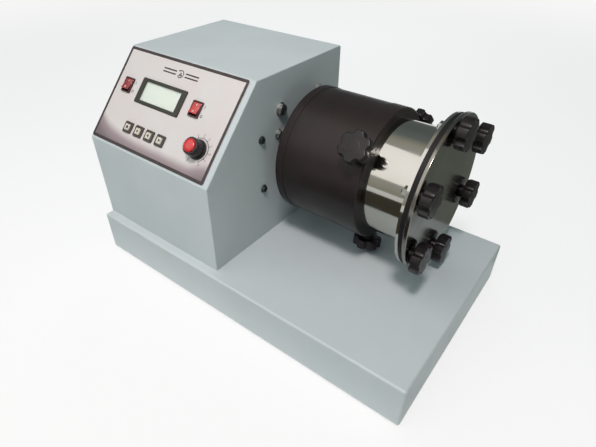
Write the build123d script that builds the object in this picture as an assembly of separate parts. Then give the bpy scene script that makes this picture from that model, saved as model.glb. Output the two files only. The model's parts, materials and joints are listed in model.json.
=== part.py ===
from build123d import *
from math import atan2, cos, degrees, hypot, radians, sin
import os

# A bench jar mill: a drive cabinet on a plinth turns a drum on a level axis, and the drum holds a
# steel jar with a lid. Millimetres. X runs from the cabinet to the lid, Y from front to back, Z up.
# The origin is on the bench, under the middle of the plinth.

# Sheet metal and general fits
SHEET = 2.0
BEND_RADIUS = 3.5
EDGE_RADIUS = 1.6
FLANGE = 18.0
COVER_THICKNESS = 1.5
COVER_GAP = 0.5
HOLE_CLEARANCE = 0.25
RUNNING_CLEARANCE = 0.05
SEAT_CLEARANCE = 0.3
PRESS_CLEARANCE = 0.02
OVERSHOOT = 1.0

# Plinth
PLINTH_LENGTH = 600.0
PLINTH_WIDTH = 350.0
PLINTH_HEIGHT = 72.0
FOOT_HEIGHT = 5.0
FOOT_RADIUS = 18.0
FOOT_INSET = 45.0
FOOT_BORE_RADIUS = 6.0
FOOT_BORE_DEPTH = 3.0
CABLE_HOLE_RADIUS = 12.0

# Cabinet
CABINET_LENGTH = 268.0
CABINET_FRONT_GAP = 15.0
CABINET_BACK_GAP = 11.0
CABINET_HEIGHT = 268.0
FRONT_WALL_HEIGHT = 148.5
SLOPE_RUN = 113.0
BACK_LIP = 14.0
COVER_MARGIN = 5.0
COVER_CORNER = 5.0
VENT_LEVEL = 0.75
VENT_LENGTH = 60.0
VENT_WIDTH = 4.0
VENT_PITCH = 10.0
VENT_COUNT = 7

# Control panel: across from the cabinet's left side or from its right side, and up the slope from its foot
FASCIA_THICKNESS = 1.0
FASCIA_MARGIN = 2.0
FASCIA_RIGHT_MARGIN = 9.5
FASCIA_FOOT_MARGIN = 3.5
FASCIA_HEAD_MARGIN = 1.7
FASCIA_CORNER = 4.0
DISPLAY_UP = 99.0
DISPLAY_WIDTH = 100.0
DISPLAY_HEIGHT = 42.0
WINDOW_WIDTH = 80.0
WINDOW_HEIGHT = 31.0
WINDOW_THICKNESS = 1.5
BEZEL_RISE = 2.0
BEZEL_WALL = 2.0
BEZEL_LIP = 2.0
BEZEL_EDGE = 0.7
MODULE_DEPTH = 6.0
BOARD_THICKNESS = 1.6
MODULE_BOARD_HEIGHT = 60.0
KEY_COUNT = 4
KEY_PITCH = 25.0
KEY_OFFSET = 1.5
KEY_UP = 37.0
KEY_FRAME_SIZE = 18.0
KEY_FRAME_RISE = 2.0
KEY_COLLAR_SIZE = 15.0
KEY_SIZE = 10.0
KEY_SKIRT = 1.1
KEY_SKIRT_THICKNESS = 1.2
KEY_DEPTH = 3.0
KEY_RISE = 1.8
KEY_TRAVEL = 1.5
KEY_GAP = 0.2
KEY_EDGE = 0.55
TACT_SIZE = 6.0
TACT_HEIGHT = 5.5
CONTROL_BOARD_MARGIN = 10.0
STANDOFF_RADIUS = 3.0
SWITCH_UP = 99.5
MAINS_SWITCH_ACROSS = 33.0
RUN_SWITCH_FROM_RIGHT = 79.0
SWITCH_WIDTH = 20.0
SWITCH_HEIGHT = 25.0
SWITCH_RISE = 2.5
SWITCH_WALL = 1.9
SWITCH_DEPTH = 18.0
ROCKER_TILT = 12.0
ROCKER_RISE = 4.5
ROCKER_WING = 3.2
ROCKER_RADIUS = 6.0
ROCKER_GAP = 0.4
ROCKER_VALLEY = 0.8
KNOB_FROM_RIGHT = 43.0
KNOB_UP = 47.0
POT_RADIUS = 12.0
POT_DEPTH = 12.0
BUSH_RADIUS = 4.5
BUSH_RISE = 5.0
POT_NUT_RADIUS = 7.0
POT_NUT_HEIGHT = 2.5
SPINDLE_RADIUS = 3.0
DIAL_KNOB_RADIUS = 13.0
DIAL_SKIRT_RADIUS = 15.0
DIAL_SKIRT_HEIGHT = 3.0
DIAL_KNOB_HEIGHT = 18.0
DIAL_KNOB_WALL = 2.0
DIAL_KNOB_GAP = 0.6
DIAL_CAP_RADIUS = 10.0
DIAL_CAP_HEIGHT = 4.0
DIAL_CAP_EDGE = 1.3

# Star knobs, alike on the clamps and on the lid
STAR_RADIUS = 22.5
STAR_LOBES = 6
STAR_VALLEY_RADIUS = 6.5
STAR_VALLEY_OFFSET = 2.5
STAR_HEAD = 16.0
STAR_HUB_RADIUS = 10.0
STAR_HUB = 4.0
STAR_EDGE = 2.5

# Drum and clamps; stations run along X from the cabinet's side wall
DRUM_GAP = 28.0
DRUM_RADIUS = 100.0
DRUM_LENGTH = 141.0
DRUM_WALL = 4.0
RIM_STEP = 0.8
REAR_PLATE = 14.0
MOUTH_RING = 26.0
BOSS_RISE = 4.0
BOSS_RADIUS = 11.0
CLAMP_COUNT = 3
CLAMP_PHASE = 19.0
CLAMP_SCREW_RADIUS = 5.0
CLAMP_STANDOFF = 4.0
CLAMP_TRAVEL = 3.0
PAD_RADIUS = 4.0
PAD_LENGTH = 4.0
SWING_CLEARANCE = 3.0

# Jar and lid
JAR_RADIUS = 86.0
JAR_WALL = 3.0
JAR_BOTTOM = 4.0
SEAT_PAD = 4.0
SEAT_DEPTH = 16.0
SEAT_BORE_MARGIN = 30.0
JAR_NECK = 69.0
JAR_FLANGE = 4.0
JAR_FLANGE_RADIUS = 113.0
GASKET = 7.0
LID = 6.0
LID_RADIUS = 116.0
LID_EDGE = 1.5
SPIGOT = 4.0
SPIGOT_CLEARANCE = 0.8
LID_KNOB_COUNT = 6
LID_KNOB_PHASE = 35.0
LID_KNOB_CIRCLE = 100.0
STUD_RADIUS = 4.0
STUD_HOLE_CLEARANCE = 0.5
STUD_TAIL = 3.0
FLANGE_NUT_RADIUS = 8.0
FLANGE_NUT = 7.0
BALL_RADIUS = 10.0
BALL_GAP = 0.3
BALL_SIDE_GAP = 0.2
BALL_COLUMNS = 5
BALL_ROWS = 8

# Shaft train
AXIS_FROM_BACK = 111.0
SHAFT_RADIUS = 15.0
WALL_HOLE_MARGIN = 6.0
HUB_FLANGE = 10.0
HUB_FLANGE_RADIUS = 45.0
HUB_RADIUS = 25.0
HUB_LENGTH = 23.0
HUB_BOLT_CIRCLE = 35.0
HUB_BOLT_COUNT = 4
BEARING_RADIUS = 31.0
BEARING_WIDTH = 16.0
BEARING_SHOULDER = 3.0
BEARING_PLATE = 8.0
PLATE_MARGIN = 10.0
HOUSING_FLANGE = 12.0
HOUSING_MARGIN = 12.0
HOUSING_WALL = 10.0
EDGE_BOLT_Y = 96.0
EDGE_BOLT_Z = 42.5
FRAME_BOLT_Y = 50.0
FRAME_BOLT_Z = 76.0
HOUSING_BOLT_Y = 56.0
HOUSING_BOLT_Z = 37.0
PULLEY_GAP = 5.0
PULLEY_FLANGE = 2.0
PULLEY_LIP = 4.0
SHAFT_PULLEY_RADIUS = 60.0
MOTOR_PULLEY_RADIUS = 25.0
BELT_WIDTH = 20.0
BELT_THICKNESS = 5.0
BELT_SIDE_GAP = 0.5
STAND_WIDTH = 70.0
STAND_FOOT = 12.0
STAND_FOOT_LENGTH = 48.0
SHAFT_TAIL = 4.0

# Motor
MOTOR_OFFSET_Y = -110.0
MOTOR_GAP = 1.0
MOTOR_RADIUS = 43.0
MOTOR_ROOM = 21.0
MOTOR_CAP = 9.0
MOTOR_CAP_RADIUS = 33.0
GEARBOX_SIZE = 84.0
GEARBOX_LENGTH = 50.0
GEARBOX_CORNER = 9.0
FACE_BOLT_INSET = 8.0
MOTOR_SHAFT_RADIUS = 7.0
MOTOR_HOLE_MARGIN = 6.0
BRACKET = 6.0
BRACKET_FOOT = 56.0
BRACKET_WIDTH = 94.0
BRACKET_GAP = 5.0
FLOOR_BOLT_INSET = 7.5
BRACKET_BOLT_FAR = 46.0
BRACKET_BOLT_NEAR = 18.5

# Electrics
CONTROLLER_WIDTH = 86.0
CONTROLLER_INSET = 14.0
CONTROLLER_GAP = 10.0
CONTROLLER_STANDOFF = 8.0
HEATSINK_END = 26.0
HEATSINK_BASE = 3.6
HEATSINK_WIDTH = 26.0
HEATSINK_HEIGHT = 24.0
FIN_COUNT = 6
FIN_THICKNESS = 1.8
CAPACITOR_RADIUS = 9.0
CAPACITOR_HEIGHT = 24.0
INLET_FROM_LEFT = 60.0
INLET_HEIGHT = 80.0
INLET_FLANGE_WIDTH = 48.0
INLET_FLANGE_HEIGHT = 32.0
INLET_FLANGE = 3.0
INLET_CORNER = 5.0
INLET_WIDTH = 29.0
INLET_BODY_HEIGHT = 22.0
INLET_DEPTH = 22.0
SOCKET_WIDTH = 24.0
SOCKET_HEIGHT = 16.5
SOCKET_DEPTH = 17.0
SOCKET_CHAMFER = 4.0
PIN_LENGTH = 11.0
PIN_WIDTH = 4.0
PIN_THICKNESS = 2.0
PIN_SPACING = 7.0
PIN_STAGGER = 2.0

# Screws: shank radius, head radius and head height
M4_SHANK, M4_HEAD, M4_HEAD_HEIGHT = 2.0, 3.8, 2.4
M6_SHANK, M6_HEAD, M6_HEAD_HEIGHT = 3.0, 5.0, 4.0
M8_SHANK, M8_HEAD, M8_HEAD_HEIGHT = 4.0, 6.8, 5.5
M10_SHANK, M10_HEAD, M10_HEAD_HEIGHT = 5.0, 9.0, 6.4
THREAD_END = 1.0
SCREW_PITCH_ALONG = 4

# Levels and stations that follow from the sizes above
PLINTH_TOP = FOOT_HEIGHT + PLINTH_HEIGHT
CABINET_LEFT = -PLINTH_LENGTH / 2
WALL = CABINET_LEFT + CABINET_LENGTH
CABINET_FRONT = -PLINTH_WIDTH / 2 + CABINET_FRONT_GAP
CABINET_BACK = PLINTH_WIDTH / 2 - CABINET_BACK_GAP
CABINET_TOP = PLINTH_TOP + CABINET_HEIGHT
SLOPE_FOOT = PLINTH_TOP + FRONT_WALL_HEIGHT
SLOPE_ANGLE = degrees(atan2(CABINET_TOP - SLOPE_FOOT, SLOPE_RUN))
SLOPE_LENGTH = hypot(CABINET_TOP - SLOPE_FOOT, SLOPE_RUN)

RUN_SWITCH_ACROSS = CABINET_LENGTH - RUN_SWITCH_FROM_RIGHT
DISPLAY_ACROSS = (MAINS_SWITCH_ACROSS + RUN_SWITCH_ACROSS) / 2
KEY_ACROSS = DISPLAY_ACROSS + KEY_OFFSET
KNOB_ACROSS = CABINET_LENGTH - KNOB_FROM_RIGHT

BOSS_TOP = DRUM_RADIUS + RIM_STEP + BOSS_RISE
CLAMP_HUB = BOSS_TOP + CLAMP_STANDOFF
SWING_RADIUS = CLAMP_HUB + STAR_HUB + STAR_HEAD + CLAMP_TRAVEL
AXIS_Y = CABINET_BACK - AXIS_FROM_BACK
AXIS_Z = PLINTH_TOP + SWING_RADIUS + SWING_CLEARANCE

DRUM_REAR = WALL + DRUM_GAP
DRUM_FLOOR = DRUM_REAR + REAR_PLATE
DRUM_MOUTH = DRUM_REAR + DRUM_LENGTH
RING_REAR = DRUM_MOUTH - MOUTH_RING
CLAMP_X = (RING_REAR + DRUM_MOUTH) / 2
JAR_REAR = DRUM_FLOOR + SEAT_PAD + SEAT_CLEARANCE
FLANGE_REAR = DRUM_MOUTH + JAR_NECK
FLANGE_FACE = FLANGE_REAR + JAR_FLANGE
LID_BACK = FLANGE_FACE + GASKET
LID_FACE = LID_BACK + LID
JAR_BORE = JAR_RADIUS - JAR_WALL

PLATE_BACK = WALL - SHEET - BEARING_PLATE
HOUSING_BACK = PLATE_BACK - HOUSING_FLANGE
FRONT_BEARING_BACK = HOUSING_BACK - BEARING_WIDTH
PULLEY_WIDTH = BELT_WIDTH + 2 * (BELT_SIDE_GAP + PULLEY_FLANGE)
PULLEY_FRONT = FRONT_BEARING_BACK - BEARING_SHOULDER - PULLEY_GAP
PULLEY_REAR = PULLEY_FRONT - PULLEY_WIDTH
STAND_FRONT = PULLEY_REAR - PULLEY_GAP
STAND_REAR = STAND_FRONT - BEARING_WIDTH - BEARING_SHOULDER
SHAFT_END = STAND_REAR - SHAFT_TAIL
BRACKET_FRONT = PULLEY_REAR - BRACKET_GAP
BRACKET_REAR = BRACKET_FRONT - BRACKET
GEARBOX_REAR = BRACKET_REAR - GEARBOX_LENGTH
MOTOR_REAR = CABINET_LEFT + SHEET + MOTOR_ROOM + MOTOR_CAP
MOTOR_Y = AXIS_Y + MOTOR_OFFSET_Y
MOTOR_Z = PLINTH_TOP + BRACKET + M6_HEAD_HEIGHT + MOTOR_GAP + GEARBOX_SIZE / 2
CONTROLLER_LEFT = CABINET_LEFT + SHEET + FLANGE + CONTROLLER_INSET
CONTROLLER_RIGHT = STAND_FRONT - STAND_FOOT_LENGTH - CONTROLLER_GAP

AXIS = Pos(0, AXIS_Y, AXIS_Z)
MOTOR_AXIS = Pos(0, MOTOR_Y, MOTOR_Z)
PANEL = Plane(
    origin=(CABINET_LEFT, CABINET_FRONT, SLOPE_FOOT),
    x_dir=(1, 0, 0),
    z_dir=(0, -sin(radians(SLOPE_ANGLE)), cos(radians(SLOPE_ANGLE))),
)
FACE_X = Rot(0, 90, 0)
FACE_DOWN = Rot(180, 0, 0)
FACE_BACK = Rot(-90, 0, 0)
UPWARD = (Align.CENTER, Align.CENTER, Align.MIN)
DOWNWARD = (Align.CENTER, Align.CENTER, Align.MAX)
BACKWARD = (Align.CENTER, Align.MIN, Align.CENTER)
FORWARD = (Align.CENTER, Align.MAX, Align.CENTER)


# Plain shapes

def block(x, y, z):
    """Box that fills the three given ranges."""
    centre = [(low + high) / 2 for low, high in (x, y, z)]
    size = [high - low for low, high in (x, y, z)]
    return Pos(*centre) * Box(*size)


def rod(start, end, radius):
    """Cylinder about the X axis between two stations."""
    return Pos((start + end) / 2, 0, 0) * FACE_X * Cylinder(radius, end - start)


def ring(start, end, outer, inner):
    """Tube about the X axis between two stations."""
    return rod(start, end, outer) - rod(start - OVERSHOOT, end + OVERSHOOT, inner)


def on_circle(radius, count, phase):
    """Places spaced evenly round the X axis, each turned with its place."""
    return [Rot(phase + 360 * step / count, 0, 0) * Pos(0, radius, 0) for step in range(count)]


def group(shapes):
    """Separate solids kept in one node."""
    return Compound(children=list(shapes))


def cut(shape, cutters):
    """The shape with every cutter taken away."""
    for cutter in cutters:
        shape = shape - cutter
    return shape


def hex_bolt(shank, head, height, length):
    """Hexagon bolt along Z: head above zero, shank below."""
    top = extrude(RegularPolygon(head, 6), height)
    return top + Cylinder(shank, length, align=DOWNWARD)


def cap_screw(shank, head, height, length):
    """Socket screw along Z: head above zero, shank below."""
    top = Cylinder(head, height, align=UPWARD)
    socket = extrude(RegularPolygon(shank, 6), height / 2)
    return top + Cylinder(shank, length, align=DOWNWARD) - Pos(0, 0, height / 2) * socket


def nut(shank, head, height):
    """Hexagon nut along Z, on top of zero, that the shank runs through."""
    bore = Cylinder(shank + HOLE_CLEARANCE, height, align=UPWARD)
    return extrude(RegularPolygon(head, 6), height) - bore


def star_knob():
    """Star grip along Z: hub from zero, lobed head on top of it."""
    outline = Circle(STAR_RADIUS)
    reach = STAR_RADIUS + STAR_VALLEY_OFFSET
    for step in range(STAR_LOBES):
        turn = radians(360 * step / STAR_LOBES)
        outline -= Pos(reach * cos(turn), reach * sin(turn)) * Circle(STAR_VALLEY_RADIUS)
    outline = fillet(outline.vertices(), STAR_EDGE)
    head = Pos(0, 0, STAR_HUB) * extrude(outline, STAR_HEAD)
    head = fillet(head.faces().sort_by(Axis.Z)[-1].outer_wire().edges(), STAR_EDGE)
    return head + Cylinder(STAR_HUB_RADIUS, STAR_HUB, align=UPWARD)


# Where the bolts that stand on the plinth's top go

def floor_bolts(x_places, y_places):
    """Points of a rectangular bolt pattern on the plinth's top."""
    return [(x, y) for x in x_places for y in y_places]


CABINET_BOLTS = floor_bolts(
    [CABINET_LEFT + SHEET + FLANGE / 2, CABINET_LEFT + CABINET_LENGTH / 2, WALL - SHEET - FLANGE / 2],
    [CABINET_FRONT + SHEET + FLANGE / 2, CABINET_BACK - SHEET - FLANGE / 2],
)
BRACKET_BOLTS = floor_bolts(
    [BRACKET_REAR - BRACKET_BOLT_FAR, BRACKET_REAR - BRACKET_BOLT_NEAR],
    [MOTOR_Y - BRACKET_WIDTH / 2 + FLOOR_BOLT_INSET, MOTOR_Y + BRACKET_WIDTH / 2 - FLOOR_BOLT_INSET],
)
STAND_BOLTS = floor_bolts(
    [STAND_FRONT - STAND_FOOT_LENGTH + FLOOR_BOLT_INSET],
    [AXIS_Y - STAND_WIDTH / 2 + FLOOR_BOLT_INSET, AXIS_Y + STAND_WIDTH / 2 - FLOOR_BOLT_INSET],
)


def floor_hole(x, y):
    """Clearance hole down through the plinth's top and what stands on it."""
    depth = STAND_FOOT + SHEET + OVERSHOOT
    return Pos(x, y, PLINTH_TOP) * Cylinder(M6_SHANK + HOLE_CLEARANCE, 2 * depth)


# Plinth

def plinth_shell():
    half_x, half_y = PLINTH_LENGTH / 2, PLINTH_WIDTH / 2
    body = block((-half_x, half_x), (-half_y, half_y), (FOOT_HEIGHT, PLINTH_TOP))
    body = fillet(body.edges().filter_by(Axis.Z), BEND_RADIUS)
    body = fillet(body.faces().sort_by(Axis.Z)[-1].outer_wire().edges(), BEND_RADIUS)
    wall_x, wall_y = half_x - SHEET, half_y - SHEET
    ledge = FOOT_HEIGHT + COVER_THICKNESS
    inside = block((-wall_x, wall_x), (-wall_y, wall_y), (ledge + SHEET, PLINTH_TOP - SHEET))
    recess = block((-wall_x, wall_x), (-wall_y, wall_y), (FOOT_HEIGHT - OVERSHOOT, ledge))
    mouth_x, mouth_y = wall_x - FLANGE, wall_y - FLANGE
    mouth = block((-mouth_x, mouth_x), (-mouth_y, mouth_y), (FOOT_HEIGHT, PLINTH_TOP - SHEET))
    cable = Pos(CABINET_LEFT + CABINET_LENGTH / 2, AXIS_Y, PLINTH_TOP) * Cylinder(
        CABLE_HOLE_RADIUS, 4 * SHEET
    )
    holes = [floor_hole(x, y) for x, y in CABINET_BOLTS + BRACKET_BOLTS + STAND_BOLTS]
    screws = [Pos(x, y, ledge) * Cylinder(M4_SHANK + HOLE_CLEARANCE, 4 * SHEET) for x, y in BASE_SCREWS]
    return cut(body, [inside, recess, mouth, cable] + holes + screws)


def base_screw_points():
    """Places round the plinth's lower flange."""
    reach_x = PLINTH_LENGTH / 2 - SHEET - FLANGE / 2
    reach_y = PLINTH_WIDTH / 2 - SHEET - FLANGE / 2
    steps = range(SCREW_PITCH_ALONG)
    spaced = [reach_x * (2 * step / (SCREW_PITCH_ALONG - 1) - 1) for step in steps]
    return [(x, y) for x in spaced for y in (-reach_y, reach_y)]


BASE_SCREWS = base_screw_points()
FOOT_POINTS = [
    (side * (PLINTH_LENGTH / 2 - FOOT_INSET), end * (PLINTH_WIDTH / 2 - FOOT_INSET))
    for side in (-1, 1)
    for end in (-1, 1)
]


def plinth_bottom_plate():
    reach_x = PLINTH_LENGTH / 2 - SHEET - COVER_GAP
    reach_y = PLINTH_WIDTH / 2 - SHEET - COVER_GAP
    plate = block((-reach_x, reach_x), (-reach_y, reach_y), (FOOT_HEIGHT, FOOT_HEIGHT + COVER_THICKNESS))
    drill = Cylinder(M4_SHANK + HOLE_CLEARANCE, 4 * SHEET)
    holes = [Pos(x, y, FOOT_HEIGHT) * drill for x, y in BASE_SCREWS + FOOT_POINTS]
    slots = [
        Pos(VENT_PITCH * (step - (VENT_COUNT - 1) / 2), 0, FOOT_HEIGHT)
        * Box(VENT_WIDTH, VENT_LENGTH, 4 * COVER_THICKNESS)
        for step in range(VENT_COUNT)
    ]
    return cut(plate, holes + slots)


def rubber_feet():
    foot = Cylinder(FOOT_RADIUS, FOOT_HEIGHT, align=UPWARD)
    foot = chamfer(foot.faces().sort_by(Axis.Z)[0].edges(), EDGE_RADIUS)
    foot = foot - Cylinder(FOOT_BORE_RADIUS, 2 * FOOT_BORE_DEPTH)
    foot = foot - Cylinder(M4_SHANK + HOLE_CLEARANCE, 3 * FOOT_HEIGHT)
    return group(Pos(x, y, 0) * foot for x, y in FOOT_POINTS)


# Cabinet

def cabinet_profile(inset, corner):
    """Side view of the cabinet in Y and Z, set in evenly, with rounded bends."""
    points = [
        (CABINET_FRONT, PLINTH_TOP),
        (CABINET_FRONT, SLOPE_FOOT),
        (CABINET_FRONT + SLOPE_RUN, CABINET_TOP),
        (CABINET_BACK, CABINET_TOP),
        (CABINET_BACK, PLINTH_TOP),
    ]
    outline = make_face(Polyline(*points, close=True))
    if inset:
        outline = offset(outline, -inset, kind=Kind.INTERSECTION)
    bends = outline.vertices().filter_by(lambda vertex: vertex.Y > PLINTH_TOP + inset + OVERSHOOT)
    return fillet(bends, corner)


def prism(profile, start, end):
    """Side-view profile carried along X between two stations."""
    return Pos(start, 0, 0) * extrude(Plane.YZ * profile, end - start)


def panel_cut(across, up, width, height):
    """Cutter through the slope and its label, a little larger than the given size."""
    depth = SHEET + FASCIA_THICKNESS
    box = Box(width + 2 * HOLE_CLEARANCE, height + 2 * HOLE_CLEARANCE, 4 * depth)
    return PANEL * Pos(across, up, 0) * box


def key_places():
    """Centres of the push keys across the panel."""
    return [KEY_ACROSS + KEY_PITCH * (step - (KEY_COUNT - 1) / 2) for step in range(KEY_COUNT)]


def panel_cutters():
    """Every opening that the slope and its label share."""
    collar_width = WINDOW_WIDTH + 2 * (BEZEL_LIP + BEZEL_WALL)
    collar_height = WINDOW_HEIGHT + 2 * (BEZEL_LIP + BEZEL_WALL)
    cutters = [panel_cut(DISPLAY_ACROSS, DISPLAY_UP, collar_width, collar_height)]
    cutters += [panel_cut(place, KEY_UP, KEY_COLLAR_SIZE, KEY_COLLAR_SIZE) for place in key_places()]
    body_width, body_height = SWITCH_WIDTH - SWITCH_WALL, SWITCH_HEIGHT - SWITCH_WALL
    for across in (MAINS_SWITCH_ACROSS, RUN_SWITCH_ACROSS):
        cutters.append(panel_cut(across, SWITCH_UP, body_width, body_height))
    bush = Cylinder(BUSH_RADIUS + HOLE_CLEARANCE, 8 * SHEET)
    cutters.append(PANEL * Pos(KNOB_ACROSS, KNOB_UP, 0) * bush)
    return cutters


def wall_drill(y, z, shank, depth):
    """Clearance hole along X, inwards from the side wall, placed from the drum's axis."""
    start, end = WALL - depth, WALL + OVERSHOOT
    return AXIS * Pos(0, y, z) * rod(start, end, shank + HOLE_CLEARANCE)


def corners(y, z):
    """Four places about the drum's axis."""
    return [(side * y, level * z) for side in (-1, 1) for level in (-1, 1)]


EDGE_BOLTS = corners(EDGE_BOLT_Y, EDGE_BOLT_Z)
FRAME_BOLTS = [(-FRAME_BOLT_Y, FRAME_BOLT_Z), (FRAME_BOLT_Y, FRAME_BOLT_Z)]
HOUSING_BOLTS = corners(HOUSING_BOLT_Y, HOUSING_BOLT_Z)


def wall_drills():
    """Holes shared by the side wall and the bearing plate behind it."""
    depth = SHEET + BEARING_PLATE + OVERSHOOT
    drills = [wall_drill(y, z, M6_SHANK, depth) for y, z in EDGE_BOLTS]
    drills += [wall_drill(y, z, M10_SHANK, depth) for y, z in FRAME_BOLTS]
    drills += [wall_drill(y, z, M8_SHANK, depth) for y, z in HOUSING_BOLTS]
    drills.append(wall_drill(0, 0, SHAFT_RADIUS + WALL_HOLE_MARGIN, depth))
    return drills


def back_screw_points():
    """Places of the rear cover's screws in X and Z."""
    inset = COVER_MARGIN + (BACK_LIP - COVER_MARGIN) / 2
    left, right = CABINET_LEFT + SHEET + inset, WALL - SHEET - inset
    low, high = PLINTH_TOP + SHEET + inset, CABINET_TOP - SHEET - inset
    rows = [low, (low + high) / 2, high]
    return [(x, z) for x in (left, right) for z in rows] + [((left + right) / 2, z) for z in (low, high)]


def cabinet_shell():
    outer = prism(cabinet_profile(0, BEND_RADIUS), CABINET_LEFT, WALL)
    for side in (0, -1):
        end = outer.faces().sort_by(Axis.X)[side]
        rims = end.outer_wire().edges().filter_by(lambda edge: edge.center().Z > PLINTH_TOP + OVERSHOOT)
        outer = fillet(rims, EDGE_RADIUS)
    inner = prism(cabinet_profile(SHEET, BEND_RADIUS - SHEET), CABINET_LEFT + SHEET, WALL - SHEET)
    inside_x = (CABINET_LEFT + SHEET + FLANGE, WALL - SHEET - FLANGE)
    inside_y = (CABINET_FRONT + SHEET + FLANGE, CABINET_BACK - SHEET - FLANGE)
    floor = block(inside_x, inside_y, (PLINTH_TOP - OVERSHOOT, PLINTH_TOP + SHEET + OVERSHOOT))
    lip_x = (CABINET_LEFT + SHEET + BACK_LIP, WALL - SHEET - BACK_LIP)
    lip_z = (PLINTH_TOP + SHEET + BACK_LIP, CABINET_TOP - SHEET - BACK_LIP)
    back = block(lip_x, (CABINET_BACK - SHEET - OVERSHOOT, CABINET_BACK + OVERSHOOT), lip_z)
    drill = FACE_BACK * Cylinder(M4_SHANK + HOLE_CLEARANCE, 6 * SHEET)
    screws = [Pos(x, CABINET_BACK, z) * drill for x, z in back_screw_points()]
    bolts = [floor_hole(x, y) for x, y in CABINET_BOLTS]
    return cut(outer, [inner, floor, back] + screws + bolts + panel_cutters() + wall_drills())


def inlet_place():
    """Middle of the power inlet on the rear cover's outer face."""
    return Pos(CABINET_LEFT + INLET_FROM_LEFT, CABINET_BACK + COVER_THICKNESS, PLINTH_TOP + INLET_HEIGHT)


def rear_cover():
    x = (CABINET_LEFT + SHEET + COVER_MARGIN, WALL - SHEET - COVER_MARGIN)
    z = (PLINTH_TOP + SHEET + COVER_MARGIN, CABINET_TOP - SHEET - COVER_MARGIN)
    plate = block(x, (CABINET_BACK, CABINET_BACK + COVER_THICKNESS), z)
    plate = fillet(plate.edges().filter_by(Axis.Y), COVER_CORNER)
    drill = FACE_BACK * Cylinder(M4_SHANK + HOLE_CLEARANCE, 6 * SHEET)
    screws = [Pos(place, CABINET_BACK, level) * drill for place, level in back_screw_points()]
    width, height = INLET_WIDTH + 2 * HOLE_CLEARANCE, INLET_BODY_HEIGHT + 2 * HOLE_CLEARANCE
    inlet = inlet_place() * Box(width, 6 * SHEET, height)
    middle = (x[0] + x[1]) / 2
    lowest = z[0] + (z[1] - z[0]) * VENT_LEVEL - VENT_PITCH * (VENT_COUNT - 1) / 2
    slot = Box(VENT_LENGTH, 6 * SHEET, VENT_WIDTH)
    slots = [
        Pos(middle + side * VENT_LENGTH, CABINET_BACK, lowest + VENT_PITCH * step) * slot
        for side in (-1, 1)
        for step in range(VENT_COUNT)
    ]
    return cut(plate, screws + [inlet] + slots)


def power_inlet():
    """Appliance inlet: flange outside the cover, body inside it, three blades in the socket."""
    flange = Box(INLET_FLANGE_WIDTH, INLET_FLANGE, INLET_FLANGE_HEIGHT, align=BACKWARD)
    flange = fillet(flange.edges().filter_by(Axis.Y), INLET_CORNER)
    body = Box(INLET_WIDTH, INLET_DEPTH, INLET_BODY_HEIGHT, align=FORWARD)
    socket_floor = INLET_FLANGE - SOCKET_DEPTH
    socket = Box(SOCKET_WIDTH, SOCKET_DEPTH + OVERSHOOT, SOCKET_HEIGHT, align=BACKWARD)
    socket = chamfer(socket.edges().filter_by(Axis.Y).group_by(Axis.Z)[-1], SOCKET_CHAMFER)
    socket = Pos(0, socket_floor, 0) * socket
    blade = Box(PIN_THICKNESS, PIN_LENGTH, PIN_WIDTH, align=BACKWARD)
    places = [(-PIN_SPACING, 0), (0, PIN_STAGGER), (PIN_SPACING, 0)]
    blades = [Pos(x, socket_floor, z) * blade for x, z in places]
    part = flange + body - socket
    for piece in blades:
        part = part + piece
    return inlet_place() * part


def cover_screws():
    """Screws of the rear cover, the bottom plate and the feet."""
    length = COVER_THICKNESS + SHEET + M4_SHANK
    screw = cap_screw(M4_SHANK, M4_HEAD, M4_HEAD_HEIGHT, length)
    outside = CABINET_BACK + COVER_THICKNESS
    back = [Pos(x, outside, z) * FACE_BACK * screw for x, z in back_screw_points()]
    base = [Pos(x, y, FOOT_HEIGHT) * FACE_DOWN * screw for x, y in BASE_SCREWS]
    tail = FOOT_HEIGHT - FOOT_BORE_DEPTH + COVER_THICKNESS + M4_SHANK
    foot_screw = cap_screw(M4_SHANK, M4_HEAD, M4_HEAD_HEIGHT, tail)
    feet = [Pos(x, y, FOOT_BORE_DEPTH) * FACE_DOWN * foot_screw for x, y in FOOT_POINTS]
    return group(back + base + feet)


# Control panel

def control_fascia():
    width = CABINET_LENGTH - FASCIA_MARGIN - FASCIA_RIGHT_MARGIN
    height = SLOPE_LENGTH - FASCIA_FOOT_MARGIN - FASCIA_HEAD_MARGIN
    plate = Box(width, height, FASCIA_THICKNESS, align=(Align.MIN, Align.MIN, Align.MIN))
    plate = fillet(plate.edges().filter_by(Axis.Z), FASCIA_CORNER)
    plate = PANEL * Pos(FASCIA_MARGIN, FASCIA_FOOT_MARGIN, 0) * plate
    return cut(plate, panel_cutters())


def display_bezel():
    """Frame on the label, with a collar that goes down through the panel."""
    frame = Box(DISPLAY_WIDTH, DISPLAY_HEIGHT, BEZEL_RISE, align=UPWARD)
    frame = fillet(frame.edges().filter_by(Axis.Z), BEZEL_RISE)
    rim = frame.faces().sort_by(Axis.Z)[-1].outer_wire().edges()
    frame = chamfer(rim, BEZEL_EDGE)
    width, height = WINDOW_WIDTH + 2 * BEZEL_LIP, WINDOW_HEIGHT + 2 * BEZEL_LIP
    depth = FASCIA_THICKNESS + SHEET
    collar = Box(width + 2 * BEZEL_WALL, height + 2 * BEZEL_WALL, depth, align=DOWNWARD)
    sight = Box(WINDOW_WIDTH, WINDOW_HEIGHT, 4 * depth)
    lip = BEZEL_RISE - WINDOW_THICKNESS / 2
    pocket = Pos(0, 0, BEZEL_RISE - lip) * Box(width, height, 4 * depth, align=DOWNWARD)
    bezel = frame + collar - sight - pocket
    return PANEL * Pos(DISPLAY_ACROSS, DISPLAY_UP, FASCIA_THICKNESS) * bezel


def window_level():
    """Height of the window's front face over the slope, under the bezel's lip."""
    return FASCIA_THICKNESS + WINDOW_THICKNESS / 2


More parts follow.
